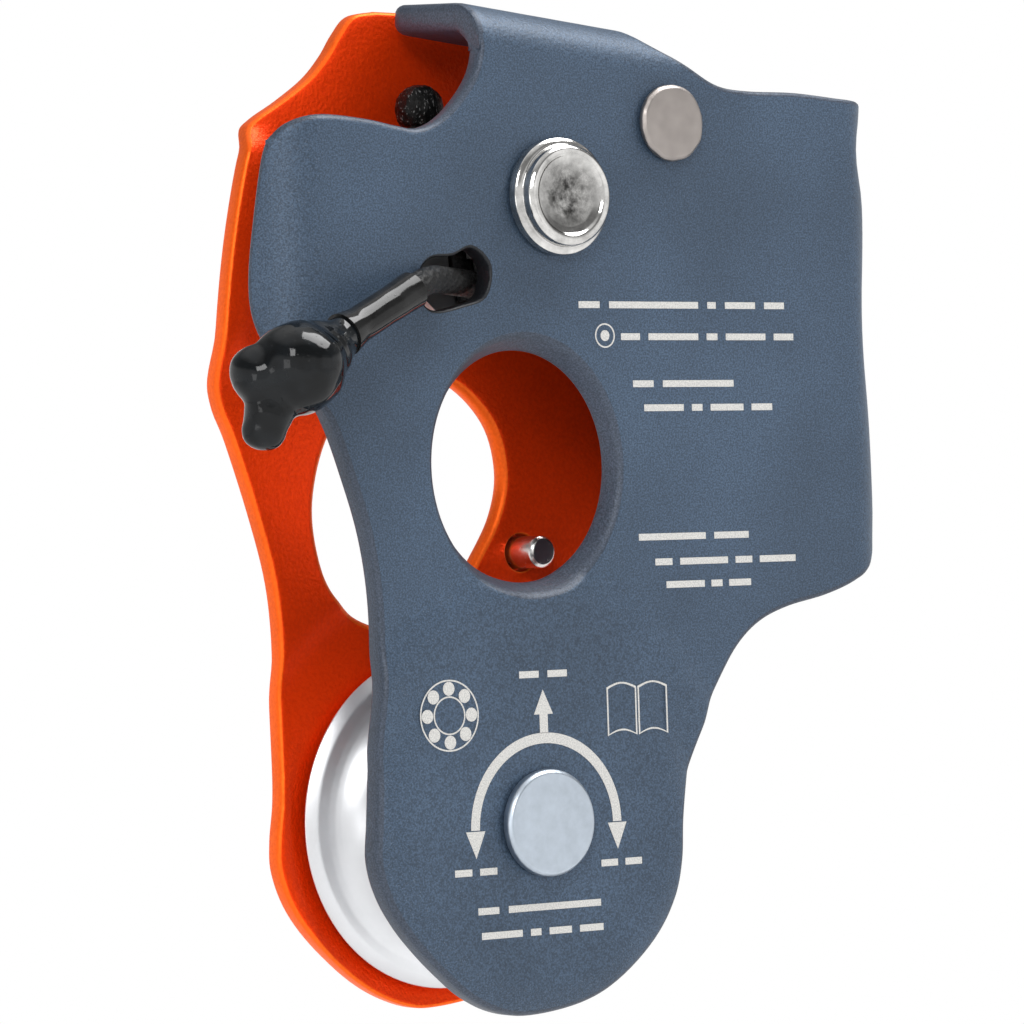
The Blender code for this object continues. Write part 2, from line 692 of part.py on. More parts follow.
def cam_spring(where, look):
    """A torsion spring: one leg rests on the stop pin, the other pushes the cam closed."""
    radius, wire = 4.9, 0.32
    turns, start_y, pitch = 1.75, 4.45, 0.75
    steps = 28
    coil = []
    begin = math.radians(52)
    for i in range(steps + 1):
        angle = begin - 2 * math.pi * turns * i / steps
        y = start_y + pitch * turns * i / steps
        coil.append((CAM_AT[0] + radius * math.cos(angle), y, CAM_AT[1] + radius * math.sin(angle)))
    stop_leg = [(13.0, start_y, 28.0), (15.2, start_y, 28.4)]
    last = Vector(coil[-1])
    ahead = (last - Vector(coil[-2])).normalized()
    cam_leg = [last + ahead * 4.0, last + ahead * 8.0]
    tube("cam_spring", list(reversed(stop_leg)) + coil + cam_leg, wire, where, look)


def stop_rivet(where, look):
    face = -SHEAVE_HALF + STEP_IN - GAP
    profile = [
        (0, 5.9), (1.9, 5.9), (2.2, 5.6), (2.2, face), (3.5, face), (3.5, face - 0.5), (3.2, face - 0.8),
        (0, face - 0.8),
    ]
    turned("cam_stop_rivet", profile, STOP_AT, where, look, steps=28)


def rear_pin(where, look):
    """The rear plate's pin, riveted behind, with a dimpled end inside."""
    outer_face = SHEAVE_HALF - STEP_IN
    profile = [
        (0, outer_face + 0.7), (1.9, outer_face + 0.7), (2.3, outer_face + GAP), (1.5, outer_face + GAP),
        (1.5, 3.2), (1.2, 2.9), (0.7, 2.9), (0.4, 3.3), (0, 3.4),
    ]
    made = turned("rear_plate_pin", profile, REAR_PIN_AT, where, look, steps=20)
    set_origin(made, (SHEAVE_AT[0], 0, SHEAVE_AT[1]))


# ---------------------------------------------------------------- release cord


def release_cord(where, look, clear, rubber):
    start = CORD_INNER_END
    outside = start + PULL * 8.3
    route = [start, start + PULL * 4.2, outside] + CORD_BEND
    route += [SLEEVE_START, (SLEEVE_START + SLEEVE_END) / 2, SLEEVE_END]
    into_knot = (KNOT_AT - SLEEVE_END).normalized()
    route.append(SLEEVE_END + into_knot * 1.6)
    tube("release_cord", route, CORD_R, where, look)
    sleeve(where, clear)
    knot(where, rubber)


def sleeve(where, look):
    """The clear tube shrunk over the cord."""
    along = SLEEVE_END - SLEEVE_START
    trim = along.normalized() * 0.3
    outer = cylinder_between("cord_sleeve", SLEEVE_START + trim, SLEEVE_END - trim, 1.72, where)
    bore = cylinder_between("sleeve_bore", SLEEVE_START - trim, SLEEVE_END + trim, 1.5, where)
    boolean(outer, bore, "DIFFERENCE")
    bpy.context.view_layer.update()
    mesh = mesh_of(outer)
    bpy.data.objects.remove(bore, do_unlink=True)
    place("cord_sleeve", mesh, where, look)


def knot(where, look):
    """The rubber-dipped knot: a round body with a lobe below and one to the left."""
    lobes = [
        (Vector((0, 0, 0)), 4.1),
        (Vector((-2.6, -0.6, -0.2)), 3.0),
        (Vector((-0.9, -0.4, -4.3)), 2.3),
    ]
    made = None
    for i, (offset, radius) in enumerate(lobes):
        lobe = ball(f"knot_lobe_{i}", KNOT_AT + offset, radius, where, look, columns=14, rows=9)
        if made is None:
            made = lobe
            continue
        boolean(made, lobe, "UNION")
    bpy.context.view_layer.update()
    mesh = mesh_of(made)
    for i in range(1, len(lobes)):
        bpy.data.objects.remove(bpy.data.objects[f"knot_lobe_{i}"], do_unlink=True)
    place("cord_knot", mesh, where, look, sharp=60)


def cord_tail(where, look):
    """The cord's inner end, threaded through the cam's ear and melted into a bead above it."""
    along = CORD_TOP - CORD_FOOT
    top = CORD_TOP - along * 0.04
    low = CORD_FOOT + along * 0.12
    tube("cord_tail", [top, (top + low) / 2, low], CORD_R - 0.15, where, look)
    up = (top - low).normalized()
    base = top + up * GAP
    bead = ball("cord_end_bead", base + up * 1.3, 2.1, where, look, columns=12, rows=8)
    lower = box_between("bead_cut", (-9, -6, 20), (3, 9, (base + up * 0.1).z), where)
    boolean(bead, lower, "DIFFERENCE")
    bpy.context.view_layer.update()
    mesh = mesh_of(bead)
    bpy.data.objects.remove(lower, do_unlink=True)
    place("cord_end_bead", mesh, where, look, sharp=60)


def main():
    clear_scene()
    parts = new_collection("rope_pulley")
    cutters = new_collection("rope_pulley_cutters")
    blue = material("slate_blue_anodised", (0.07, 0.10, 0.16), 0.42, 0.6)
    orange = material("orange_anodised", (0.80, 0.12, 0.01), 0.40, 0.5)
    silver = material("polished_aluminium", (0.80, 0.81, 0.82), 0.22, 1.0)
    steel = material("steel", (0.62, 0.62, 0.60), 0.25, 1.0)
    matte = material("matte_steel", (0.45, 0.42, 0.39), 0.5, 1.0)
    bronze = material("bronze", (0.55, 0.35, 0.15), 0.35, 1.0)
    dark = material("dark_steel", (0.16, 0.16, 0.17), 0.4, 1.0)
    nylon = material("nylon", (0.75, 0.70, 0.55), 0.5, 0.0)
    cord = material("black_cord", (0.01, 0.01, 0.01), 0.8, 0.0)
    clear = material("clear_sleeve", (0.05, 0.05, 0.05), 0.08, 0.0)
    rubber = material("dipped_rubber", (0.012, 0.012, 0.013), 0.12, 0.0)

    front_plate(parts, cutters, blue)
    rear_plate(parts, cutters, orange)
    sheave(parts, silver)
    bearing(parts, steel, dark, nylon, cutters)
    sheave_axle(parts, steel)
    axle_sleeves(parts, steel, bronze)
    cam(parts, cutters, steel)
    cam_axle(parts, steel, bronze)
    retaining_ring(parts, dark)
    cam_spring(parts, steel)
    stop_rivet(parts, matte)
    rear_pin(parts, steel)
    release_cord(parts, cord, clear, rubber)
    cord_tail(parts, cord)


main()
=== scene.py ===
"""The rope pulley's looks: finer side plates, turned parts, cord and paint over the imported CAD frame.

Lengths are in millimetres in the CAD's frame (origin in the carabiner eye, +Y to the rear plate)
and become metres through MM.
"""

import json
import math

import bmesh
import bpy
from mathutils import Matrix, Vector, noise

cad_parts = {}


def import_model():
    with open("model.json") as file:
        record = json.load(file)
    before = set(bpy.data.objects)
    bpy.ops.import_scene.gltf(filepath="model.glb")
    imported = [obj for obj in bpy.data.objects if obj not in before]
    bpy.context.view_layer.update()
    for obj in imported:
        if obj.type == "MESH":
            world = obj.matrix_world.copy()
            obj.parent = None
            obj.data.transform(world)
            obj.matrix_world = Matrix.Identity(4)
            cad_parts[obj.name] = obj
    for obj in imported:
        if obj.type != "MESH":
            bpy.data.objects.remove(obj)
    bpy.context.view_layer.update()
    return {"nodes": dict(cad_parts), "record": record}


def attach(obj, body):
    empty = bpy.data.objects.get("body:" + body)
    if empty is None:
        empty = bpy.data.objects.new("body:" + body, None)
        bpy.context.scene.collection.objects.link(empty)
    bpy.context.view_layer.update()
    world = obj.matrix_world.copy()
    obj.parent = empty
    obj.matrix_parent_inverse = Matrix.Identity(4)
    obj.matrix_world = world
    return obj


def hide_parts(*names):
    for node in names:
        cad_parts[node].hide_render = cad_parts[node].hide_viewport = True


MM = 0.001

# Both plates: their outer faces stand this far from the middle at the sheave, and STEP_IN less above it.
SHEAVE_FACE = 9.2
STEP_IN = 0.7
STEP_RADII = (20.4, 23.2)
UPPER_FACE = SHEAVE_FACE - STEP_IN
RIM_ROLL = 1.1
RIM_ROLL_FROM = 14.6
FRONT_T = 2.2
REAR_T = 2.0
EYE_X = 0.5
EYE_HALF = (9.5, 10.15)
EYE_FLARE = (0.105, 0.163)

# Turned parts: (x, z) places and radii.
SHEAVE_AT = (0.5, -32.0)
WHEEL_HALF = 6.6
WHEEL_R = 15.6
GROOVE_R = 9.9
AXLE_R = 3.5
CAM_AT = (4.4, 24.2)
CAM_PIN_R = 3.0
STOP_AT = (17.6, 31.2)
STOP_R = 2.2
REAR_PIN_AT = (10.3, -7.7)
REAR_PIN_R = 1.5
GAP = 0.3

# The front plate's folds: the rope channel's wall, the top flange and the left lobe.
CHANNEL_X = 42.8
CHANNEL_FOLD_R = 3.0
CHANNEL_FOLD_X = CHANNEL_X - CHANNEL_FOLD_R - FRONT_T / 2
WALL_END_Y = 6.0
FLANGE_FOLD_R = 3.5
FLANGE_ANGLE = math.radians(85)
FLANGE_START_Z = 37.4
FLANGE_SLOPE = -0.106
FLANGE_LENGTH = 15.0
FLANGE_EXTRA = 0.5
LOBE_X = -20.5
LOBE_FOLD_R = 4.4
LOBE_ANGLE = math.radians(60)

# The cord: its way out of the slot, its sleeve and knot, and its other stretch in the cam's ear.
PULL = Vector((-0.8, -0.6, 0.0))
CORD_R = 1.25
CORD_INNER_END = Vector((-1.7, -3.55, 16.6))
CORD_BEND = [Vector((-10.6, -10.2, 16.5)), Vector((-12.6, -11.6, 16.1))]
SLEEVE_START = Vector((-14.4, -12.5, 15.4))
SLEEVE_END = Vector((-23.0, -14.3, 11.4))
KNOT_AT = Vector((-28.8, -15.5, 8.4))
CORD_TOP = Vector((-3.25, 2.75, 32.0))
CORD_FOOT = Vector((-0.1, -2.2, 13.2))

MARK_LIFT = 0.025
WORD_GAP = 0.55


# ---------------------------------------------------------------- materials


class Look:
    """A Principled material with short ways to feed its colour, roughness and bump."""

    def __init__(self, name, colour, roughness, metallic=0.0, **sockets):
        self.made = bpy.data.materials.new(name)
        self.made.use_nodes = True
        self.tree = self.made.node_tree
        self.shader = self.tree.nodes["Principled BSDF"]
        self.colour = colour
        self.set("Base Color", (*colour, 1))
        self.set("Roughness", roughness)
        self.set("Metallic", metallic)
        for socket, value in sockets.items():
            self.set(socket.replace("_", " "), value)
        self.where = self.node("ShaderNodeTexCoord").outputs["Object"]

    def set(self, socket, value):
        self.shader.inputs[socket].default_value = value

    def node(self, kind, **inputs):
        made = self.tree.nodes.new(kind)
        for name, value in inputs.items():
            self.feed(made.inputs[name.replace("_", " ")], value)
        return made

    def feed(self, socket, value):
        if isinstance(value, bpy.types.NodeSocket):
            self.tree.links.new(value, socket)
        else:
            socket.default_value = value

    def noise(self, size, detail=2.0, stretch=(1, 1, 1), rough=0.5):
        """Noise whose features are about this many millimetres, stretched along the axes."""
        mapping = self.node("ShaderNodeMapping", Vector=self.where)
        mapping.inputs["Scale"].default_value = [1 / s for s in stretch]
        made = self.node("ShaderNodeTexNoise", Vector=mapping.outputs["Vector"])
        made.inputs["Scale"].default_value = 1 / (size * MM)
        made.inputs["Detail"].default_value = detail
        made.inputs["Roughness"].default_value = rough
        return made.outputs["Fac"]

    def ramp(self, value, *stops):
        """A colour ramp through (position, colour or grey) stops."""
        made = self.node("ShaderNodeValToRGB", Fac=value)
        ramp = made.color_ramp
        while len(ramp.elements) < len(stops):
            ramp.elements.new(0.5)
        for element, (at, colour) in zip(ramp.elements, stops):
            element.position = at
            grey = isinstance(colour, (int, float))
            element.color = (colour, colour, colour, 1) if grey else (*colour, 1)
        return made.outputs["Color"]

    def mix(self, how, amount, first, second):
        made = self.tree.nodes.new("ShaderNodeMix")
        made.data_type = "RGBA"
        made.blend_type = how
        self.feed(made.inputs[0], amount)
        for index, value in ((6, first), (7, second)):
            if isinstance(value, tuple) and len(value) == 3:
                value = (*value, 1)
            self.feed(made.inputs[index], value)
        return made.outputs[2]

    def paint(self, colour):
        self.feed(self.shader.inputs["Base Color"], colour)

    def rough(self, value, low, high):
        ranged = self.node("ShaderNodeMapRange", Value=value)
        ranged.inputs["To Min"].default_value = low
        ranged.inputs["To Max"].default_value = high
        self.feed(self.shader.inputs["Roughness"], ranged.outputs["Result"])

    def bump(self, height, depth, strength=1.0):
        """Bumps this many millimetres deep, on top of any bump made before."""
        made = self.node("ShaderNodeBump", Height=height)
        made.inputs["Distance"].default_value = depth * MM
        made.inputs["Strength"].default_value = strength
        socket = self.shader.inputs["Normal"]
        if socket.is_linked:
            self.feed(made.inputs["Normal"], socket.links[0].from_socket)
        self.feed(socket, made.outputs["Normal"])


def scaled(colour, factor):
    return tuple(min(c * factor, 1) for c in colour)


def slate(name, colour, painted_glint_share):
    """Satin slate-blue coating with a fine grain, painted glints as bright flecks, and a light peel."""
    look = Look(name, colour, 0.45, 0.25, Specular_IOR_Level=0.45)
    grain = look.noise(0.16, 3)
    speck = look.ramp(grain, (0.38, scaled(colour, 0.62)), (0.64, scaled(colour, 1.28)))
    fine = look.noise(0.10, 2)
    # Painted highlight: small white glints added to the colour where the fine noise peaks.
    glint = look.ramp(fine, (0.63, 0.0), (0.72, 1.0))
    cloud = look.ramp(look.noise(18, 2), (0.35, 0.84), (0.65, 1.12))
    tone = look.mix("MULTIPLY", 1.0, speck, cloud)
    look.paint(look.mix("ADD", painted_glint_share, tone, glint))
    look.rough(grain, 0.38, 0.54)
    look.bump(look.noise(0.34, 3), 0.07, 0.6)
    return look.made


def orange(name, colour, peel):
    """Orange metallic coating with an orange-peel surface."""
    look = Look(name, colour, 0.42, 0.58, Specular_IOR_Level=0.2)
    tone = look.ramp(look.noise(0.3, 3), (0.35, scaled(colour, 0.9)), (0.65, scaled(colour, 1.1)))
    cloud = look.ramp(look.noise(11, 2), (0.35, 0.95), (0.65, 1.04))
    look.paint(look.mix("MULTIPLY", 1.0, tone, cloud))
    look.rough(look.noise(0.4, 2), 0.34, 0.5)
    look.bump(look.noise(0.32, 2), 0.07, peel)
    return look.made


def turned_metal(
    name, colour, roughness, at, pitch=0.18, depth=0.004, worn=0.1, dished=0.0, grit=0.3, streaks=0.0
):
    """Metal with lathe rings this many millimetres apart about an axis along Y through a point.

    The middle is darkened in a noisy pattern inside a radius of dished, and streaks darkens the rings by
    that share."""
    look = Look(name, colour, roughness, 1.0)
    mapping = look.node("ShaderNodeMapping", Vector=look.where)
    mapping.inputs["Location"].default_value = (-at[0] * MM, 0, -at[1] * MM)
    wave = look.node("ShaderNodeTexWave", Vector=mapping.outputs["Vector"])
    wave.wave_type = "RINGS"
    wave.rings_direction = "Y"
    wave.inputs["Scale"].default_value = 0.05 / (pitch * MM)
    wave.inputs["Distortion"].default_value = 1.5
    wave.inputs["Detail"].default_value = 2
    stain = look.noise(1.5, 7, rough=0.62)
    shade = look.ramp(stain, (0.3, scaled(colour, 1 - worn)), (0.7, colour))
    bands = look.ramp(wave.outputs["Fac"], (0.0, 1 - streaks), (1.0, 1.0))
    shade = look.mix("MULTIPLY", 1.0, shade, bands)
    if dished:
        flat = look.node("ShaderNodeVectorMath", Vector=mapping.outputs["Vector"])
        flat.operation = "MULTIPLY"
        flat.inputs[1].default_value = (1, 0, 1)
        away = look.node("ShaderNodeVectorMath", Vector=flat.outputs["Vector"])
        away.operation = "LENGTH"
        share = look.node("ShaderNodeMapRange", Value=away.outputs["Value"])
        share.inputs["From Min"].default_value = dished * 0.35 * MM
        share.inputs["From Max"].default_value = dished * MM
        # Darker in the middle of the head, in a noisy pattern, fading out between 0.35 and 1 times
        # dished.
        middle_darkening = look.ramp(look.noise(0.9, 6, rough=0.65), (0.38, 0.06), (0.66, 0.62))
        darker_middle = look.mix("MULTIPLY", 1.0, shade, middle_darkening)
        shade = look.mix("MIX", share.outputs["Result"], darker_middle, shade)
    look.paint(shade)
    look.rough(look.noise(0.5, 4), roughness * (1 - grit), roughness * (1 + grit))
    look.bump(wave.outputs["Fac"], depth, 0.5)
    look.bump(look.noise(0.12, 3), depth, 0.3)
    return look.made


def plain_metal(name, colour, roughness, grain=0.15):
    look = Look(name, colour, roughness, 1.0)
    shade = look.ramp(look.noise(1.6, 4), (0.3, scaled(colour, 0.82)), (0.7, colour))
    look.paint(shade)
    look.rough(look.noise(0.4, 4), roughness * 0.7, roughness * 1.35)
    look.bump(look.noise(grain, 3), 0.01, 0.4)
    return look.made


def braid(name):
    look = Look(name, (0.004, 0.004, 0.005), 0.45, 0.0, Specular_IOR_Level=0.22)
    strands = look.noise(0.22, 3)
    look.paint(look.ramp(strands, (0.4, (0.002, 0.002, 0.002)), (0.72, (0.022, 0.022, 0.022))))
    look.bump(strands, 0.12, 0.9)
    return look.made


def glossy_black(name, colour, bubbles):
    """Wet-looking black plastic or rubber with soft waves and a few small pits."""
    look = Look(name, colour, 0.09, 0.0, Specular_IOR_Level=0.26)
    look.paint(look.ramp(look.noise(2.2, 2), (0.4, scaled(colour, 0.6)), (0.7, scaled(colour, 1.7))))
    look.bump(look.noise(1.6, 2), 0.05, bubbles)
    pits = look.ramp(look.noise(0.32, 1), (0.72, 0.0), (0.76, 1.0))
    look.bump(pits, 0.04, bubbles)
    return look.made


def speckled_black(name):
    """Melted black cord with pale specks painted in as glints."""
    look = Look(name, (0.003, 0.003, 0.003), 0.4, 0.0, Specular_IOR_Level=0.15)
    painted_glint_specks = look.noise(0.26, 3, stretch=(0.5, 1, 1.8), rough=0.6)
    # Painted highlight: the pale specks stand for glints on the melted end; the same noise gives the
    # bumps.
    look.paint(look.ramp(painted_glint_specks, (0.60, (0.003, 0.003, 0.003)), (0.66, (0.16, 0.16, 0.16))))
    look.bump(painted_glint_specks, 0.1, 0.8)
    return look.made


def plastic(name, colour, roughness):
    look = Look(name, colour, roughness)
    look.paint(look.ramp(look.noise(0.8, 3), (0.3, scaled(colour, 0.9)), (0.7, colour)))
    look.bump(look.noise(0.2, 2), 0.01, 0.4)
    return look.made


def engraving(name):
    look = Look(name, (0.58, 0.59, 0.58), 0.6, 0.0)
    grain = look.noise(0.12, 3)
    look.paint(look.ramp(grain, (0.30, (0.38, 0.38, 0.38)), (0.6, (0.62, 0.61, 0.58))))
    return look.made


# ---------------------------------------------------------------- mesh helpers


def smoothstep(low, high, value):
    t = min(max((value - low) / (high - low), 0.0), 1.0)
    return t * t * (3 - 2 * t)


def spline_span(p0, p1, p2, p3, steps):
    """Points of a smooth curve from p1 up to, but not at, p2."""
    made = []
    for s in range(steps):
        t = s / steps
        bend_2 = (2 * p0 - 5 * p1 + 4 * p2 - p3) * t * t
        bend_3 = (3 * p1 - p0 - 3 * p2 + p3) * t**3
        made.append(tuple(0.5 * (2 * p1 + (p2 - p0) * t + bend_2 + bend_3)))
    return made


def smooth_loop(points, steps):
    made = []
    count = len(points)
    for i in range(count):
        span = (Vector(points[(i + k) % count]) for k in (-1, 0, 1, 2))
        made += spline_span(*span, steps)
    return made


def open_curve(points, steps):
    run = [Vector(point) for point in points]
    run = [2 * run[0] - run[1]] + run + [2 * run[-1] - run[-2]]
    made = []
    for i in range(len(run) - 3):
        made += spline_span(*run[i : i + 4], steps)
    return made + [tuple(points[-1])]


def arc(centre, radius, start, end, steps):
    made = []
    for i in range(steps + 1):
        a = math.radians(start + (end - start) * i / steps)
        made.append((centre[0] + radius * math.cos(a), centre[1] + radius * math.sin(a)))
    return made


def ellipse(centre, half_x, half_z, steps):
    return [
        (centre[0] + half_x * math.cos(a), centre[1] + half_z * math.sin(a))
        for a in (2 * math.pi * i / steps for i in range(steps))
    ]


def circle(centre, radius, steps=48):
    return ellipse(centre, radius, radius, steps)


def piece(name, mesh, looks, body, stands_for=(), sharp=None):
    """A finished piece that rides on a body and stands for some CAD nodes."""
    obj = bpy.data.objects.new(name, mesh)
    bpy.context.scene.collection.objects.link(obj)
    for look in looks:
        mesh.materials.append(look)
    mesh.shade_smooth()
    if sharp:
        mesh.set_sharp_from_angle(angle=math.radians(sharp))
    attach(obj, body)
    if stands_for:
        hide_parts(*stands_for)
    return obj


def mesh_from(work, name):
    mesh = bpy.data.meshes.new(name)
    work.to_mesh(mesh)
    work.free()
    return mesh


def flat_shape(name, loops, half):
    """A flat outline in XZ with holes, this thick each way from y = 0, as a bmesh in millimetres."""
    curve = bpy.data.curves.new(name, "CURVE")
    curve.dimensions = "2D"
    curve.fill_mode = "BOTH"
    curve.extrude = half
    for loop in loops:
        spline = curve.splines.new("POLY")
        spline.points.add(len(loop) - 1)
        for point, (x, z) in zip(spline.points, loop):
            point.co = (x, z, 0, 1)
        spline.use_cyclic_u = True
    obj = bpy.data.objects.new(name, curve)
    bpy.context.scene.collection.objects.link(obj)
    bpy.context.view_layer.update()
    graph = bpy.context.evaluated_depsgraph_get()
    mesh = bpy.data.meshes.new_from_object(obj.evaluated_get(graph))
    work = bmesh.new()
    work.from_mesh(mesh)
    bmesh.ops.remove_doubles(work, verts=work.verts, dist=1e-4)
    for vert in work.verts:
        x, z, y = vert.co
        vert.co = (x, -y, z)
    bmesh.ops.recalc_face_normals(work, faces=work.faces)
    bpy.data.objects.remove(obj, do_unlink=True)
    bpy.data.meshes.remove(mesh)
    bpy.data.curves.remove(curve)
    return work


def rim_edges(work, test):
    """Edges between a flat face and a cut wall whose middle passes a test."""
    found = []
    for edge in work.edges:
        if len(edge.link_faces) != 2:
            continue
        ys = sorted(abs(face.normal.y) for face in edge.link_faces)
        if ys[0] < 0.5 < ys[1]:
            middle = (edge.verts[0].co + edge.verts[1].co) / 2
            if test(middle):
                found.append(edge)
    return found


def sheet_mesh(name, loops, thickness, x_lines, z_lines, shape, rims, painted_shade_test=None):
    """A plate cut to its outline, with rounded edges, split along a grid and then bent into shape.

    Each rim is a test of the flat point, a rounding width and its steps; the first that fits is used.
    Faces of the cut edge and its rounding get material 1, or 2 where the painted_shade_test says so: a
    darker copy with the shade painted in, for walls deep in shadow. The coated faces get material 0."""
    work = flat_shape(name, loops, thickness / 2)
    flat = [e for e in work.edges if all(abs(f.normal.y) > 0.9 for f in e.link_faces)]
    bmesh.ops.dissolve_limit(work, angle_limit=0.01, verts=[], edges=flat)
    for place, (_, width, steps) in enumerate(rims):
        edges = rim_edges(work, lambda p: next(i for i, rim in enumerate(rims) if rim[0](p)) == place)
        bmesh.ops.bevel(
            work,
            geom=edges,
            offset=width,
            segments=steps,
            profile=0.5,
            affect="EDGES",
            clamp_overlap=False,
        )
    work.normal_update()
    for face in work.faces:
        face.material_index = 0 if abs(face.normal.y) > 0.97 else 1
        if face.material_index and painted_shade_test and painted_shade_test(face.calc_center_median()):
            face.material_index = 2
    for x in x_lines:
        split(work, (x, 0, 0), (1, 0, 0))
    for z in z_lines:
        split(work, (0, 0, z), (0, 0, 1))
    for vert in work.verts:
        vert.co = Vector(shape(*vert.co)) * MM
    bmesh.ops.recalc_face_normals(work, faces=work.faces)
    return mesh_from(work, name)


def split(work, co, normal):
    geometry = work.verts[:] + work.edges[:] + work.faces[:]
    bmesh.ops.bisect_plane(work, geom=geometry, dist=1e-4, plane_co=co, plane_no=normal)


def spaced(low, high, step):
    count = max(round((high - low) / step), 1)
    return [low + (high - low) * i / count + 0.0137 for i in range(count + 1)]


def lathe(name, profile, at, steps=96, closed=False, wobble=None):
    """A (radius, y) profile, given from the rear to the front, turned about Y through (x, z)."""
    work = bmesh.new()
    rings = []
    for radius, y in profile:
        if radius < 1e-6:
            rings.append([work.verts.new((at[0] * MM, y * MM, at[1] * MM))])
            continue
        ring = []
        for i in range(steps):
            a = 2 * math.pi * i / steps
            r = radius + (wobble(radius, y, a) if wobble else 0)
            point = Vector((at[0] + r * math.cos(a), y, at[1] + r * math.sin(a)))
            ring.append(work.verts.new(point * MM))
        rings.append(ring)
    pairs = list(zip(rings, rings[1:]))
    if closed:
        pairs.append((rings[-1], rings[0]))
    for first, second in pairs:
        for i in range(steps):
            k = (i + 1) % steps
            corners = [first[i % len(first)], first[k % len(first)]]
            corners += [second[k % len(second)], second[i % len(second)]]
            work.faces.new(list(dict.fromkeys(corners)))
    bmesh.ops.recalc_face_normals(work, faces=work.faces)
    return mesh_from(work, name)


def rounded(profile, radius, closed=False, steps=3):
    """The same profile with its corners rounded, except the ends of an open one."""
    points = [Vector(p) for p in profile]
    count = len(points)
    made = []
    for i, p in enumerate(points):
        if not closed and i in (0, count - 1):
            made.append(tuple(p))
            continue
        before, after = points[i - 1] - p, points[(i + 1) % count] - p
        cut = min(radius, before.length * 0.45, after.length * 0.45)
        start, end = p + before.normalized() * cut, p + after.normalized() * cut
        for s in range(steps + 1):
            t = s / steps
            made.append(tuple(start * (1 - t) ** 2 + p * 2 * t * (1 - t) + end * t * t))
    return made


def tube_mesh(name, points, radius, sides, shape):
    """A closed tube along points in millimetres.

    Its radius is a number or a function of the share of its length, times shape(length, angle)."""
    run = [Vector(p) for p in points]
    lengths = [0.0]
    for a, b in zip(run, run[1:]):
        lengths.append(lengths[-1] + (b - a).length)
    work = bmesh.new()
    rings = []
    side = None
    for i, p in enumerate(run):
        ahead = (run[min(i + 1, len(run) - 1)] - run[max(i - 1, 0)]).normalized()
        if side is None:
            side = ahead.orthogonal().normalized()
        side = (side - ahead * side.dot(ahead)).normalized()
        up = ahead.cross(side)
        share = lengths[i] / lengths[-1]
        size = radius(share) if callable(radius) else radius
        ring = []
        for k in range(sides):
            a = 2 * math.pi * k / sides
            r = size * shape(lengths[i], a)
            ring.append(work.verts.new((p + (side * math.cos(a) + up * math.sin(a)) * r) * MM))
        rings.append(ring)
    for first, second in zip(rings, rings[1:]):
        for k in range(sides):
            n = (k + 1) % sides
            work.faces.new((first[k], first[n], second[n], second[k]))
    work.faces.new(rings[0])
    work.faces.new(rings[-1])
    bmesh.ops.recalc_face_normals(work, faces=work.faces)
    return mesh_from(work, name)


# ---------------------------------------------------------------- plate shapes


def fold(along, offset, radius, angle):
    """Bends a sheet: how far out and how far back a point comes, by its way past the fold's start."""
    turn = min(along / radius, angle)
    rest = along - turn * radius
    out = radius * math.sin(turn) + rest * math.cos(turn)
    back = radius * (1 - math.cos(turn)) + rest * math.sin(turn)
    return out - offset * math.sin(turn), back + offset * math.cos(turn)


def plate_depth(x, z):
    """How far a plate's outer face stands from the middle: full at the sheave, less beyond the step."""
    radius = math.hypot(x - SHEAVE_AT[0], z - SHEAVE_AT[1])
    stand = SHEAVE_FACE - STEP_IN * smoothstep(*STEP_RADII, radius)
    low = 1 - smoothstep(SHEAVE_AT[1], SHEAVE_AT[1] + 14, z)
    roll = RIM_ROLL * (max(radius - RIM_ROLL_FROM, 0) / 3) ** 2
    return stand - min(roll, RIM_ROLL) * low


def wall_wave(z):
    """How far the channel's wall is drawn in, in two hollows and at its foot."""
    upper = 1.15 * math.exp(-(((z - 29) / 3.0) ** 2))
    lower = 1.05 * math.exp(-(((z - 12.5) / 7.0) ** 2))
    return upper + lower + 0.35 * (1 - smoothstep(-9, -4, z))


def eye_flare(x, y, z):
    """Widens the eye towards the plate's front face, as a broad coined edge."""
    around = math.hypot((x - EYE_X) / EYE_HALF[0], z / EYE_HALF[1])
    near = min(max((1.35 - around) / 0.35, 0), 1)
    share = near * (0.5 - y / FRONT_T)
    return EYE_X + (x - EYE_X) * (1 + EYE_FLARE[0] * share), z * (1 + EYE_FLARE[1] * share)


def front_shape(x, y, z):
    """Takes a point of the flat front plate to its place in the folded one."""
    x, z = eye_flare(x, y, z)
    depth = -plate_depth(x, z) + FRONT_T / 2
    if x > CHANNEL_FOLD_X:
        past = x - CHANNEL_FOLD_X
        out, back = fold(past, y, CHANNEL_FOLD_R, math.pi / 2)
        wave = wall_wave(z) * smoothstep(0, CHANNEL_FOLD_R * 1.5, past)
        return CHANNEL_FOLD_X + out - wave, depth + back, z
    if x < LOBE_X:
        out, back = fold(LOBE_X - x, y, LOBE_FOLD_R, LOBE_ANGLE)
        return LOBE_X - out, depth + back, z
    start = FLANGE_START_Z + FLANGE_SLOPE * (x + 3)
    reach = (z - start) * (1 - smoothstep(17, 25, x))
    if reach > 0:
        thicken = FLANGE_EXTRA * smoothstep(0, 3, reach) if y > 0 else 0
        out, back = fold(reach, y + thicken, FLANGE_FOLD_R, FLANGE_ANGLE)
        return x, depth + back, z - reach + out
    return x, depth + y, z


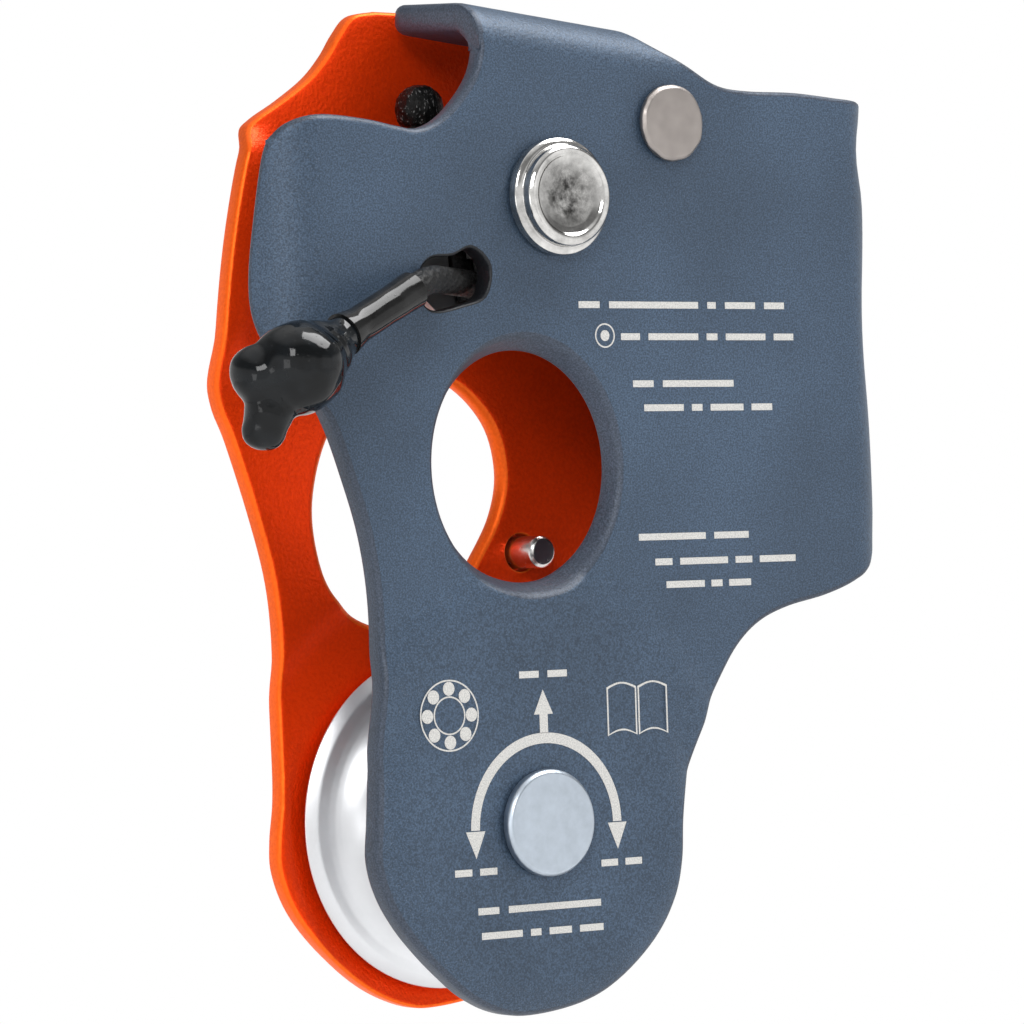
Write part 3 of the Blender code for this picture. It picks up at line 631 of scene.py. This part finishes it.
FRONT_OUTLINE_LEFT = [
    (-3.1, 38.0), (-3.8, 35.4), (-5.5, 33.0), (-7.8, 31.0), (-10.2, 30.1), (-12.5, 30.3),
    (-15.6, 30.8), (-19.9, 31.1), (-22.4, 30.7), (-24.2, 29.6), (-25.2, 27.6), (-26.2, 22.4),
    (-26.9, 17.2), (-26.7, 13.6), (-25.4, 10.6), (-23.1, 7.4), (-20.6, 4.2), (-18.6, -0.8),
    (-17.0, -6.0), (-16.2, -11.5), (-16.2, -17.5), (-16.8, -24.0),
]
FRONT_END = [
    (-16.7, -27.2), (-16.9, -31.0), (-17.0, -34.6), (-16.1, -37.8), (-14.5, -40.6), (-12.5, -43.0),
    (-10.2, -45.2), (-7.6, -47.2), (-4.4, -48.7),
]
SHARED_OUTLINE = [
    (-0.9, -49.2), (4.6, -48.5), (8.8, -46.8), (13.3, -43.3), (15.7, -39.8), (16.5, -36.4),
    (16.7, -32.4), (17.7, -28.4), (19.8, -23.6), (21.8, -19.9), (24.0, -16.9), (26.7, -14.8),
    (30.2, -13.5),
]
FRONT_OUTLINE_RIGHT = [(34.6, -12.6), (37.8, -11.6), (39.9, -10.4), (41.8, -8.4), (44.8, -6.9)]
FRONT_SHOULDER = [
    (38.6, 34.1), (33.0, 34.5), (27.3, 34.5), (23.8, 34.9), (20.6, 36.3), (16.8, 38.3), (15.0, 40.4),
]
SLOT_OUTLINE = [
    (-10.6, 17.2), (-9.4, 18.5), (-7.0, 18.8), (-4.9, 19.5), (-3.1, 17.9), (-3.7, 15.3),
    (-6.2, 14.4), (-9.2, 13.9), (-10.6, 15.0),
]
REAR_OUTLINE_LEFT = [
    (-4.2, 42.3), (-6.6, 41.8), (-8.2, 40.1), (-9.6, 38.1), (-11.6, 36.0), (-14.6, 33.9),
    (-17.4, 32.2), (-18.8, 30.8), (-20.1, 27.4), (-21.8, 19.5), (-22.9, 10.5), (-22.5, 6.4),
    (-21.1, 3.0), (-19.0, -3.2), (-17.4, -9.0), (-16.8, -14.0), (-16.8, -20.0), (-17.1, -26.0),
]
REAR_END = [
    (-17.4, -29.6), (-17.9, -33.0), (-17.8, -36.0), (-16.3, -39.6), (-13.3, -43.2), (-8.9, -46.8),
    (-4.6, -48.8),
]
REAR_TOP = [(32.0, 33.6), (24.0, 35.2), (17.0, 38.6), (9.0, 41.6), (2.0, 42.3)]
REAR_EYE = [
    (-2.2, 9.2), (3.2, 8.0), (7.2, 4.4), (8.5, 0.0), (7.7, -4.0), (5.4, -7.8), (2.4, -11.6),
    (-2.0, -14.4), (-7.0, -13.6), (-10.5, -11.0), (-12.1, -7.4), (-12.5, -2.6), (-10.9, 2.8),
    (-7.5, 7.2),
]


def front_outline():
    """The front plate's outline before folding, with its wall and flange flat beyond their folds."""
    flange_top = FLANGE_START_Z + FLANGE_LENGTH
    wall_end = CHANNEL_FOLD_X + CHANNEL_FOLD_R * math.pi / 2
    wall_end += WALL_END_Y + SHEAVE_FACE - STEP_IN - CHANNEL_FOLD_R - FRONT_T / 2
    wall_foot = arc((wall_end - 3.5, -2.9), 3.5, 280, 360, 12)
    wall_head = arc((wall_end - 2.5, 30.9), 2.5, 0, 90, 8)
    shoulder = open_curve(FRONT_SHOULDER, 5)
    flange_end = arc((12.0, flange_top - 3.6), 2.6, 20, 90, 8)
    flange_tip = arc((-1.6, flange_top - 1.9), 2.0, 90, 180, 8)
    sides = open_curve(FRONT_OUTLINE_LEFT + FRONT_END + SHARED_OUTLINE + FRONT_OUTLINE_RIGHT, 6)
    return sides + wall_foot + wall_head + shoulder + flange_end + flange_tip


def rear_outline():
    foot = arc((37.0, -8.6), 4.0, 270, 360, 10)
    head = arc((36.5, 28.6), 4.5, 0, 90, 10)
    top = open_curve(REAR_TOP, 6)
    sides = open_curve(REAR_OUTLINE_LEFT + REAR_END + SHARED_OUTLINE + [(34.5, -12.8)], 6)
    return sides + foot + head + top


def rear_lip(x, z):
    """How far the rear plate's upper left edge is turned in."""
    edge = -18.5 - (30.8 - z) * 0.19
    near = 1 - smoothstep(0.5, 4.5, x - edge)
    tall = smoothstep(7, 13, z) * (1 - smoothstep(29.0, 31.6, z))
    return 1.6 * near * tall


def rear_shape(x, y, z):
    return x, plate_depth(x, z) - REAR_T / 2 + y - rear_lip(x, z), z


def in_front_eye(p):
    return math.hypot((p.x - EYE_X) / EYE_HALF[0], p.z / EYE_HALF[1]) < 1.1


def in_rear_eye(p):
    return math.hypot(p.x + 2, p.z + 2.6) < 13.5 and p.z > -16 and not near_pin(p)


def near_pin(p):
    return math.hypot(p.x - REAR_PIN_AT[0], p.z - REAR_PIN_AT[1]) < 3


def in_slot(p):
    return -10.9 < p.x < -2.8 and 13.6 < p.z < 19.8


def anywhere(p):
    return True


def front_plate(looks):
    fold_end = CHANNEL_FOLD_X + CHANNEL_FOLD_R * math.pi / 2
    holes = [
        ellipse((EYE_X, 0.0), *EYE_HALF, 96),
        circle(SHEAVE_AT, AXLE_R + GAP),
        circle(CAM_AT, CAM_PIN_R + GAP),
        circle(STOP_AT, STOP_R + GAP),
        smooth_loop(SLOT_OUTLINE, 6),
    ]
    x_lines = spaced(-27.5, LOBE_X, 0.55) + spaced(LOBE_X + 1.2, CHANNEL_FOLD_X - 0.6, 1.25)
    x_lines += spaced(CHANNEL_FOLD_X, fold_end, 0.4) + spaced(fold_end + 1, 52, 1.5)
    z_lines = spaced(-48, -14, 0.9) + spaced(-12.8, 32, 1.3)
    z_lines += spaced(33, 42, 0.42) + spaced(43, 52, 1.2)
    mesh = sheet_mesh(
        "front_plate_skin",
        [front_outline()] + holes,
        FRONT_T,
        x_lines,
        z_lines,
        front_shape,
        [
            (in_front_eye, 0.6, 4),
            (lambda p: p.z > 44, 1.0, 5),
            (lambda p: p.x < 0 and p.z > 29, 0.7, 4),
            (in_slot, 0.25, 2),
            (anywhere, 0.45, 3),
        ],
        # The slot's walls take material 2, a near-black copy with the shade painted in.
        in_slot,
    )
    piece("front_plate_skin", mesh, looks, "frame", ["front_plate"])


def rear_plate(looks):
    holes = [smooth_loop(REAR_EYE, 7), circle(SHEAVE_AT, 5.2), circle(REAR_PIN_AT, REAR_PIN_R + GAP, 32)]
    mesh = sheet_mesh(
        "rear_plate_skin",
        [rear_outline()] + holes,
        REAR_T,
        spaced(-22, 40.5, 1.2),
        spaced(-48, -14, 0.9) + spaced(-12.8, 42, 1.2),
        rear_shape,
        [(in_rear_eye, 0.85, 5), (near_pin, 0.12, 2), (anywhere, 0.5, 4)],
    )
    piece("rear_plate_skin", mesh, looks, "rear_plate", ["rear_plate"])


# ---------------------------------------------------------------- turned parts


def sheave(look):
    """The wheel: two flat flanges, dished towards the bearing, and a round groove between its rims."""
    lip = WHEEL_R - 0.45
    groove = []
    for i in range(41):
        t = -1 + 2 * i / 40
        depth = (lip - GROOVE_R) * (1 - (0.985 * t) ** 2) ** 0.6
        groove.append((lip - depth, -t * (WHEEL_HALF - 1.1)))
    flange = [
        (8.3, WHEEL_HALF - 1.4), (10.6, WHEEL_HALF - 0.9), (13.4, WHEEL_HALF),
        (WHEEL_R - 0.4, WHEEL_HALF), (WHEEL_R, WHEEL_HALF - 0.4),
    ]
    profile = flange + groove + [(radius, -y) for radius, y in reversed(flange)]
    mesh = lathe("sheave_wheel", rounded(profile, 0.18, True), SHEAVE_AT, 160, True)
    piece("sheave_wheel", mesh, [look], "sheave", ["sheave"], 50)


def sheave_axle(look):
    """The flat-headed axle with its swaged tail, and the washer under the tail."""
    head = -SHEAVE_FACE - GAP
    washer = SHEAVE_FACE + GAP
    washer_t = 0.9
    tail = washer + washer_t + GAP
    profile = [
        (0, tail + 0.75), (2.2, tail + 0.9), (3.6, tail + 0.9), (4.6, tail + 0.6), (4.9, tail),
        (AXLE_R, tail), (AXLE_R, head), (4.8, head), (4.8, head - 0.75), (4.5, head - 1.1),
        (0, head - 1.1),
    ]
    mesh = lathe("sheave_axle_pin", rounded(profile, 0.14), SHEAVE_AT, 128)
    piece("sheave_axle_pin", mesh, [look], "frame", ["sheave_axle"], 40)
    ring = [(3.8, washer + washer_t), (7.2, washer + washer_t), (7.2, washer), (3.8, washer)]
    mesh = lathe("rear_washer", rounded(ring, 0.16, True), SHEAVE_AT, 128, True)
    piece("rear_washer", mesh, [look], "frame", ["axle_rear_washer"], 40)


def cam_axle(look):
    """The cam's axle with its stepped, dished head and a groove for the ring behind."""
    face = -UPPER_FACE - GAP
    head = [
        (3.0, face), (5.3, face), (5.3, face - 0.9), (4.92, face - 1.15), (4.62, face - 1.2),
        (4.55, face - 2.0), (4.2, face - 2.3), (3.7, face - 2.25), (3.45, face - 2.0), (2.9, face - 1.8),
        (2.0, face - 1.62), (1.0, face - 1.5), (0, face - 1.46),
    ]
    shank = [
        (0, 5.9), (2.8, 5.9), (CAM_PIN_R, 5.7), (CAM_PIN_R, 5.6), (2.3, 5.6), (2.3, 5.0),
        (CAM_PIN_R, 5.0),
    ]
    mesh = lathe("cam_axle_pin", rounded(shank + head, 0.12), CAM_AT, 128)
    piece("cam_axle_pin", mesh, [look], "frame", ["cam_axle"], 50)


def stop_rivet(look):
    """The flat rivet on whose shank the closed cam rests, its head a little battered."""
    face = -UPPER_FACE - GAP
    head_r = 3.5
    profile = [
        (0, 5.9), (1.9, 5.9), (STOP_R, 5.6), (STOP_R, face), (head_r, face), (3.52, face - 0.45),
        (3.2, face - 0.75), (1.6, face - 0.8), (0, face - 0.78),
    ]

    def burr(radius, y, a):
        if radius < 3 or y > face - 0.3:
            return 0
        return 0.10 * noise.noise(Vector((math.cos(a) * 3, math.sin(a) * 3, y))) * (radius / head_r)

    mesh = lathe("stop_rivet_head", rounded(profile, 0.12), STOP_AT, 128, wobble=burr)
    piece("stop_rivet_head", mesh, [look], "frame", ["cam_stop_rivet"], 50)


def rear_pin(look):
    """The pin inside the rear plate, riveted over on the plate's back."""
    profile = [
        (0, UPPER_FACE + 0.6), (1.2, UPPER_FACE + 0.7), (1.9, UPPER_FACE + 0.65),
        (2.3, UPPER_FACE + GAP), (REAR_PIN_R, UPPER_FACE + GAP), (REAR_PIN_R, 3.25), (1.2, 2.9),
        (0.8, 2.86), (0, 2.84),
    ]
    mesh = lathe("rear_pin_turned", rounded(profile, 0.1), REAR_PIN_AT, 64)
    piece("rear_pin_turned", mesh, [look], "rear_plate", ["rear_plate_pin"], 50)


# ---------------------------------------------------------------- cord


def cord_route():
    outside = CORD_INNER_END + PULL * 8.3
    points = [CORD_INNER_END, CORD_INNER_END + PULL * 4.2, outside] + CORD_BEND
    points += [SLEEVE_START, (SLEEVE_START + SLEEVE_END) / 2, SLEEVE_END, KNOT_AT]
    return [Vector(p) for p in open_curve(points, 5)]


def strands(along, a):
    """The braid: raised strands that wind round the cord both ways."""
    left = math.cos(8 * a + along * 3.4)
    right = math.cos(8 * a - along * 3.4)
    return 0.955 + 0.045 * max(left, right)


def release_cord(cord_look, sleeve_look, rubber_look):
    route = cord_route()
    fine = [Vector(p) for p in open_curve(route, 5)]
    mesh = tube_mesh("release_cord_braid", fine, CORD_R, 64, strands)
    cord = piece("release_cord_braid", mesh, [cord_look], "release_pull", ["release_cord"])
    sleeve = cord_sleeve(sleeve_look)
    knot = cord_knot(rubber_look)


def cord_sleeve(look):
    """The shrunk tube, a little waisted, widening towards its lower end by the knot."""
    along = SLEEVE_END - SLEEVE_START
    points = [SLEEVE_START + along * i / 16 for i in range(17)]

    def radius(t):
        return 1.70 - 0.10 * math.sin(math.pi * t) + 0.25 * smoothstep(0.8, 1.0, t)

    def lumps(length, a):
        return 1 + 0.02 * noise.noise(Vector((math.cos(a), math.sin(a), length * 0.5)))

    mesh = tube_mesh("cord_sleeve_tube", points, radius, 48, lumps)
    return piece("cord_sleeve_tube", mesh, [look], "release_pull", ["cord_sleeve"], 60)


def cord_knot(look):
    """The dipped knot: a ball with a neck, a lobe at the left and one below, melted together."""
    into = (SLEEVE_END - KNOT_AT).normalized()
    lobes = [
        (KNOT_AT + Vector((0.3, 0, 0.1)), 4.05),
        (KNOT_AT + into * 3.0, 2.9),
        (KNOT_AT + into * 4.3, 2.4),
        (KNOT_AT + into * 5.6, 2.05),
        (KNOT_AT + into * 6.6, 1.9),
        (KNOT_AT + Vector((-2.9, 1.3, -0.5)), 2.6),
        (KNOT_AT + Vector((-2.6, 1.4, -5.2)), 1.9),
        (KNOT_AT + Vector((-2.2, 1.1, -3.6)), 2.1),
    ]
    work = bmesh.new()
    for at, size in lobes:
        made = bmesh.ops.create_icosphere(work, subdivisions=4, radius=size)
        bmesh.ops.translate(work, verts=made["verts"], vec=at)
    mesh = mesh_from(work, "cord_knot_dipped")
    obj = bpy.data.objects.new("knot_blank", mesh)
    bpy.context.scene.collection.objects.link(obj)
    remesh = obj.modifiers.new("melt", "REMESH")
    remesh.mode = "VOXEL"
    remesh.voxel_size = 0.24
    smooth = obj.modifiers.new("soften", "SMOOTH")
    smooth.factor = 0.6
    smooth.iterations = 18
    bpy.context.view_layer.update()
    graph = bpy.context.evaluated_depsgraph_get()
    made = bpy.data.meshes.new_from_object(obj.evaluated_get(graph))
    bpy.data.objects.remove(obj, do_unlink=True)
    work = bmesh.new()
    work.from_mesh(made)
    work.normal_update()
    for vert in work.verts:
        lump = 0.30 * noise.noise(vert.co * 0.36) + 0.02 * noise.noise(vert.co * 1.5)
        vert.co = (vert.co + vert.normal * lump) * MM
    work.to_mesh(made)
    work.free()
    return piece("cord_knot_dipped", made, [look], "release_pull", ["cord_knot"])


def cord_inside(look, bead_look):
    """The cord through the cam's ear, and its melted end in the top notch."""
    along = CORD_TOP - CORD_FOOT
    top = CORD_TOP - along * 0.04
    low = CORD_FOOT + along * 0.12
    points = [top + (low - top) * i / 40 for i in range(41)]
    mesh = tube_mesh("inner_cord_braid", points, CORD_R - 0.15, 48, strands)
    piece("inner_cord_braid", mesh, [look], "cam", ["cord_tail"])
    work = bmesh.new()
    bmesh.ops.create_icosphere(work, subdivisions=5, radius=1)
    for vert in work.verts:
        p = vert.co.copy()
        lump = 0.10 * noise.noise(p * 3.1) + 0.06 * noise.noise(p * 7.0)
        p = p * (2.25 + lump)
        p.z = max(p.z, -1.5)
        vert.co = (top + Vector((0.7, 0, 1.7)) + p) * MM
    mesh = mesh_from(work, "cord_end_melted")
    piece("cord_end_melted", mesh, [bead_look], "cam", ["cord_end_bead"])


# ---------------------------------------------------------------- engraved marks


def mark(name, loops, depth, look):
    """A flat engraved mark just proud of the front plate, whose face stands at this depth."""
    work = flat_shape(name, loops, 0.01)
    for vert in work.verts:
        vert.co = (vert.co + Vector((0, -depth - MARK_LIFT, 0))) * MM
    mesh = mesh_from(work, name)
    obj = piece(name, mesh, [look], "frame")
    mesh.shade_flat()
    return obj


def load_arc(look):
    """A half ring over the axle with an arrow at each foot and one at the crown."""
    at = (0.75, -32.3)
    mark("mark_load_arc", [arc(at, 8.35, 0, 180, 60) + arc(at, 7.4, 180, 0, 60)], SHEAVE_FACE, look)
    for side, x in (("left", at[0] - 7.87), ("right", at[0] + 7.87)):
        head = [(x - 1.05, at[1] - 0.1), (x + 1.05, at[1] - 0.1), (x, at[1] - 2.5)]
        mark(f"mark_arrow_{side}", [head], SHEAVE_FACE, look)
    x, z = at[0], at[1] + 8.3
    up = [
        (x - 0.45, z), (x + 0.45, z), (x + 0.45, z + 1.7), (x + 1.05, z + 1.7), (x, z + 3.9),
        (x - 1.05, z + 1.7), (x - 0.45, z + 1.7),
    ]
    mark("mark_arrow_up", [up], SHEAVE_FACE, look)


def bearing_mark(look):
    at = (-9.55, -22.0)
    rings = [circle(at, 3.18, 64), circle(at, 3.04, 64), circle(at, 1.72, 48), circle(at, 1.58, 48)]
    mark("mark_bearing_rings", rings, SHEAVE_FACE, look)
    dots = []
    for i in range(8):
        a = 2 * math.pi * i / 8
        dots.append(circle((at[0] + 2.38 * math.cos(a), at[1] + 2.38 * math.sin(a)), 0.62, 24))
    mark("mark_bearing_balls", dots, SHEAVE_FACE, look)


def book_mark(look):
    """An open book: a line drawing of two bowed pages, blank."""
    x0, x1, z0, z1 = 7.9, 14.8, -24.6, -20.2
    middle = (x0 + x1) / 2

    def page(left, right, top, bottom, bow):
        shares = [i / 12 for i in range(13)]
        above = [(left + (right - left) * t, top + bow * math.sin(math.pi * t)) for t in shares]
        below = [(x, z - (top - bottom)) for x, z in reversed(above)]
        return above + below

    width = 0.16
    loops = []
    for left, right in ((x0, middle - width / 2), (middle + width / 2, x1)):
        loops.append(page(left, right, z1, z0, 0.45))
        loops.append(page(left + width, right - width, z1 - width, z0 + width, 0.45))
    mark("mark_book", loops, SHEAVE_FACE, look)


def bar_line(name, x0, x1, z, words, depth, look):
    """A line of placeholder words: plain bars with gaps, fitted between x0 and x1, no lettering."""
    scale = (x1 - x0) / (sum(words) + WORD_GAP * (len(words) - 1))
    half = 0.31
    loops, x = [], x0
    for word in words:
        end = x + word * scale
        loops.append([(x, z - half), (end, z - half), (end, z + half), (x, z + half)])
        x = end + WORD_GAP * scale
    mark(name, loops, depth, look)


def placeholder_text(look):
    lines = [
        ("a", 6.7, 30.6, 14.5, (1.2, 5.2, 0.5, 1.8, 1.2), UPPER_FACE),
        ("b", 11.4, 31.6, 11.6, (1.2, 3.2, 0.7, 2.6, 1.3), UPPER_FACE),
        ("c", 12.6, 24.3, 7.3, (1.2, 4.2), UPPER_FACE),
        ("d", 13.8, 28.8, 5.1, (2.6, 0.7, 2.2, 1.4), UPPER_FACE),
        ("e", 12.7, 25.5, -6.7, (4.2, 2.2), UPPER_FACE),
        ("f", 14.5, 31.0, -9.0, (1.2, 3.4, 1.2, 2.6), UPPER_FACE),
        ("g", 15.7, 25.6, -11.1, (3.1, 0.9, 1.8), UPPER_FACE),
        ("j", -1.8, 3.5, -18.7, (1.2, 1.2), SHEAVE_FACE),
        ("k", -9.5, -4.9, -36.0, (1.2, 1.2), SHEAVE_FACE),
        ("m", 6.7, 11.3, -36.0, (1.2, 1.2), SHEAVE_FACE),
        ("n", -7.1, 6.5, -39.5, (1.2, 5.4), SHEAVE_FACE),
        ("p", -6.8, 6.7, -41.7, (2.7, 0.7, 1.5, 1.6), SHEAVE_FACE),
    ]
    for key, x0, x1, z, words, depth in lines:
        bar_line(f"mark_line_{key}", x0, x1, z, words, depth, look)
    at = (9.57, 11.7)
    rings = [circle(at, 1.12, 48), circle(at, 0.98, 48), circle(at, 0.5, 32)]
    mark("mark_ring_and_dot", rings, UPPER_FACE, look)


# ---------------------------------------------------------------- stage


def area_light(name, at, size, power):
    """A soft box that points at the origin; place and size in metres."""
    data = bpy.data.lights.new(name, "AREA")
    data.shape = "RECTANGLE"
    data.size, data.size_y = size
    data.energy = power
    obj = bpy.data.objects.new(name, data)
    obj.location = at
    obj.rotation_euler = (-Vector(at)).to_track_quat("-Z", "Y").to_euler()
    bpy.context.scene.collection.objects.link(obj)


def stage():
    floor_look = Look("pale_floor", (0.86, 0.86, 0.86), 0.7)
    floor_look.bump(floor_look.noise(3, 2), 0.05, 0.1)
    work = bmesh.new()
    bmesh.ops.create_circle(work, cap_ends=True, segments=96, radius=0.8)
    bmesh.ops.translate(work, verts=work.verts, vec=(0, 0, -0.16))
    mesh = mesh_from(work, "floor")
    floor = bpy.data.objects.new("floor", mesh)
    mesh.materials.append(floor_look.made)
    bpy.context.scene.collection.objects.link(floor)

    studio_sky()
    area_light("key", (-0.62, -0.62, 0.45), (0.34, 0.34), 3.6)
    area_light("low_left", (-0.80, -0.35, -0.12), (0.3, 0.4), 0.8)
    area_light("fill", (0.50, -0.85, 0.10), (0.5, 0.8), 0.3)
    area_light("top", (0.36, -0.16, 0.70), (0.45, 0.45), 6.0)


def studio_sky():
    """White at the horizon, dim above it and bright again overhead, like a tent with a soft box."""
    world = bpy.data.worlds.new("studio")
    bpy.context.scene.world = world
    world.use_nodes = True
    tree = world.node_tree
    axes = tree.nodes.new("ShaderNodeSeparateXYZ")
    tree.links.new(tree.nodes.new("ShaderNodeTexCoord").outputs["Generated"], axes.inputs["Vector"])
    height = tree.nodes.new("ShaderNodeMapRange")
    height.inputs["From Min"].default_value = -1
    tree.links.new(axes.outputs["Z"], height.inputs["Value"])
    ramp = tree.nodes.new("ShaderNodeValToRGB")
    stops = [(0.0, 0.6), (0.40, 1.0), (0.60, 1.0), (0.68, 0.30), (0.84, 0.30), (0.95, 1.0)]
    while len(ramp.color_ramp.elements) < len(stops):
        ramp.color_ramp.elements.new(0.5)
    for element, (at, grey) in zip(ramp.color_ramp.elements, stops):
        element.position = at
        element.color = (grey, grey, grey, 1)
    tree.links.new(height.outputs["Result"], ramp.inputs["Fac"])
    tree.links.new(ramp.outputs["Color"], tree.nodes["Background"].inputs["Color"])


def camera():
    data = bpy.data.cameras.new("camera")
    data.sensor_width = 36
    data.lens = 176.2
    data.clip_start = 0.01
    obj = bpy.data.objects.new("camera", data)
    forward = Vector((0.588, 0.809, 0.012)).normalized()
    up = Vector((0.019, -0.029, 0.999))
    right = forward.cross(up).normalized()
    up = right.cross(forward)
    turn = Matrix((right, up, -forward)).transposed().to_4x4()
    obj.matrix_world = Matrix.Translation(Vector((-265.1, -371.2, -9.5)) * MM) @ turn
    bpy.context.scene.collection.objects.link(obj)
    bpy.context.scene.camera = obj


# ---------------------------------------------------------------- put together


def dress_cad_nodes(frame, looks):
    """Gives every carried-over CAD node its finish by its material slot."""
    for entry in frame["record"]["subparts"]:
        node = frame["nodes"][entry["node"]]
        node.data.materials.clear()
        node.data.materials.append(looks[entry["material_slot"]])


def soften_cad_edges(node, width):
    bevel = node.modifiers.new("edge", "BEVEL")
    bevel.width = width * MM
    bevel.segments = 3
    bevel.limit_method = "ANGLE"
    bevel.angle_limit = math.radians(40)
    bevel.harden_normals = False


def main():
    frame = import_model()
    bpy.context.scene.view_settings.view_transform = "Standard"
    camera()

    steel = turned_metal("bright_steel", (0.74, 0.73, 0.71), 0.12, CAM_AT, 0.2, 0.006, 0.45, 4.2)
    zinc = turned_metal("zinc_plate", (0.50, 0.56, 0.63), 0.36, SHEAVE_AT, 0.3, 0.002, 0.16)
    alloy = turned_metal(
        "turned_alloy", (0.76, 0.77, 0.79), 0.36, SHEAVE_AT, 0.9, 0.001, 0.04, grit=0.1, streaks=0.25
    )
    looks = {
        "slate_plate": slate("slate_coat", (0.051, 0.082, 0.129), 0.07),
        "orange_plate": orange("orange_coat", (1.0, 0.050, 0.001), 0.9),
        "steel": plain_metal("plain_steel", (0.70, 0.69, 0.67), 0.24),
        "zinc_steel": zinc,
        "cam_steel": plain_metal("cast_steel", (0.42, 0.42, 0.41), 0.42, 0.3),
        "spring_steel": plain_metal("spring_wire", (0.40, 0.40, 0.42), 0.3),
        "matte_steel": plain_metal("rivet_steel", (0.38, 0.345, 0.325), 0.42, 0.2),
        "dark_steel": plain_metal("dark_steel", (0.13, 0.13, 0.14), 0.4),
        "satin_aluminium": alloy,
        "bronze": plain_metal("bearing_bronze", (0.52, 0.33, 0.14), 0.35),
        "nylon": plastic("cage_nylon", (0.72, 0.67, 0.52), 0.5),
        "cord": braid("black_braid"),
        "clear_sleeve": glossy_black("clear_tube_over_cord", (0.008, 0.008, 0.008), 0.25),
        "dipped_rubber": glossy_black("dipped_rubber", (0.004, 0.005, 0.006), 0.6),
    }
    slate_edge = slate("slate_cut_edge", (0.050, 0.066, 0.096), 0.03)
    # Painted shade: a near-black copy of the slate coat for the slot's walls, which lie deep in shadow.
    slot_painted_shade = slate("slate_slot_painted_shade", (0.012, 0.014, 0.018), 0.03)
    orange_edge = orange("orange_cut_edge", (1.0, 0.125, 0.008), 0.3)
    marks = engraving("engraved_marks")
    melted = speckled_black("melted_cord_end")

    dress_cad_nodes(frame, looks)
    soften_cad_edges(frame["nodes"]["cam"], 0.35)
    front_plate([looks["slate_plate"], slate_edge, slot_painted_shade])
    rear_plate([looks["orange_plate"], orange_edge])
    sheave(alloy)
    sheave_axle(zinc)
    cam_axle(steel)
    stop_rivet(looks["matte_steel"])
    rear_pin(looks["steel"])
    release_cord(looks["cord"], looks["clear_sleeve"], looks["dipped_rubber"])
    cord_inside(looks["cord"], melted)
    load_arc(marks)
    bearing_mark(marks)
    book_mark(marks)
    placeholder_text(marks)
    stage()


main()
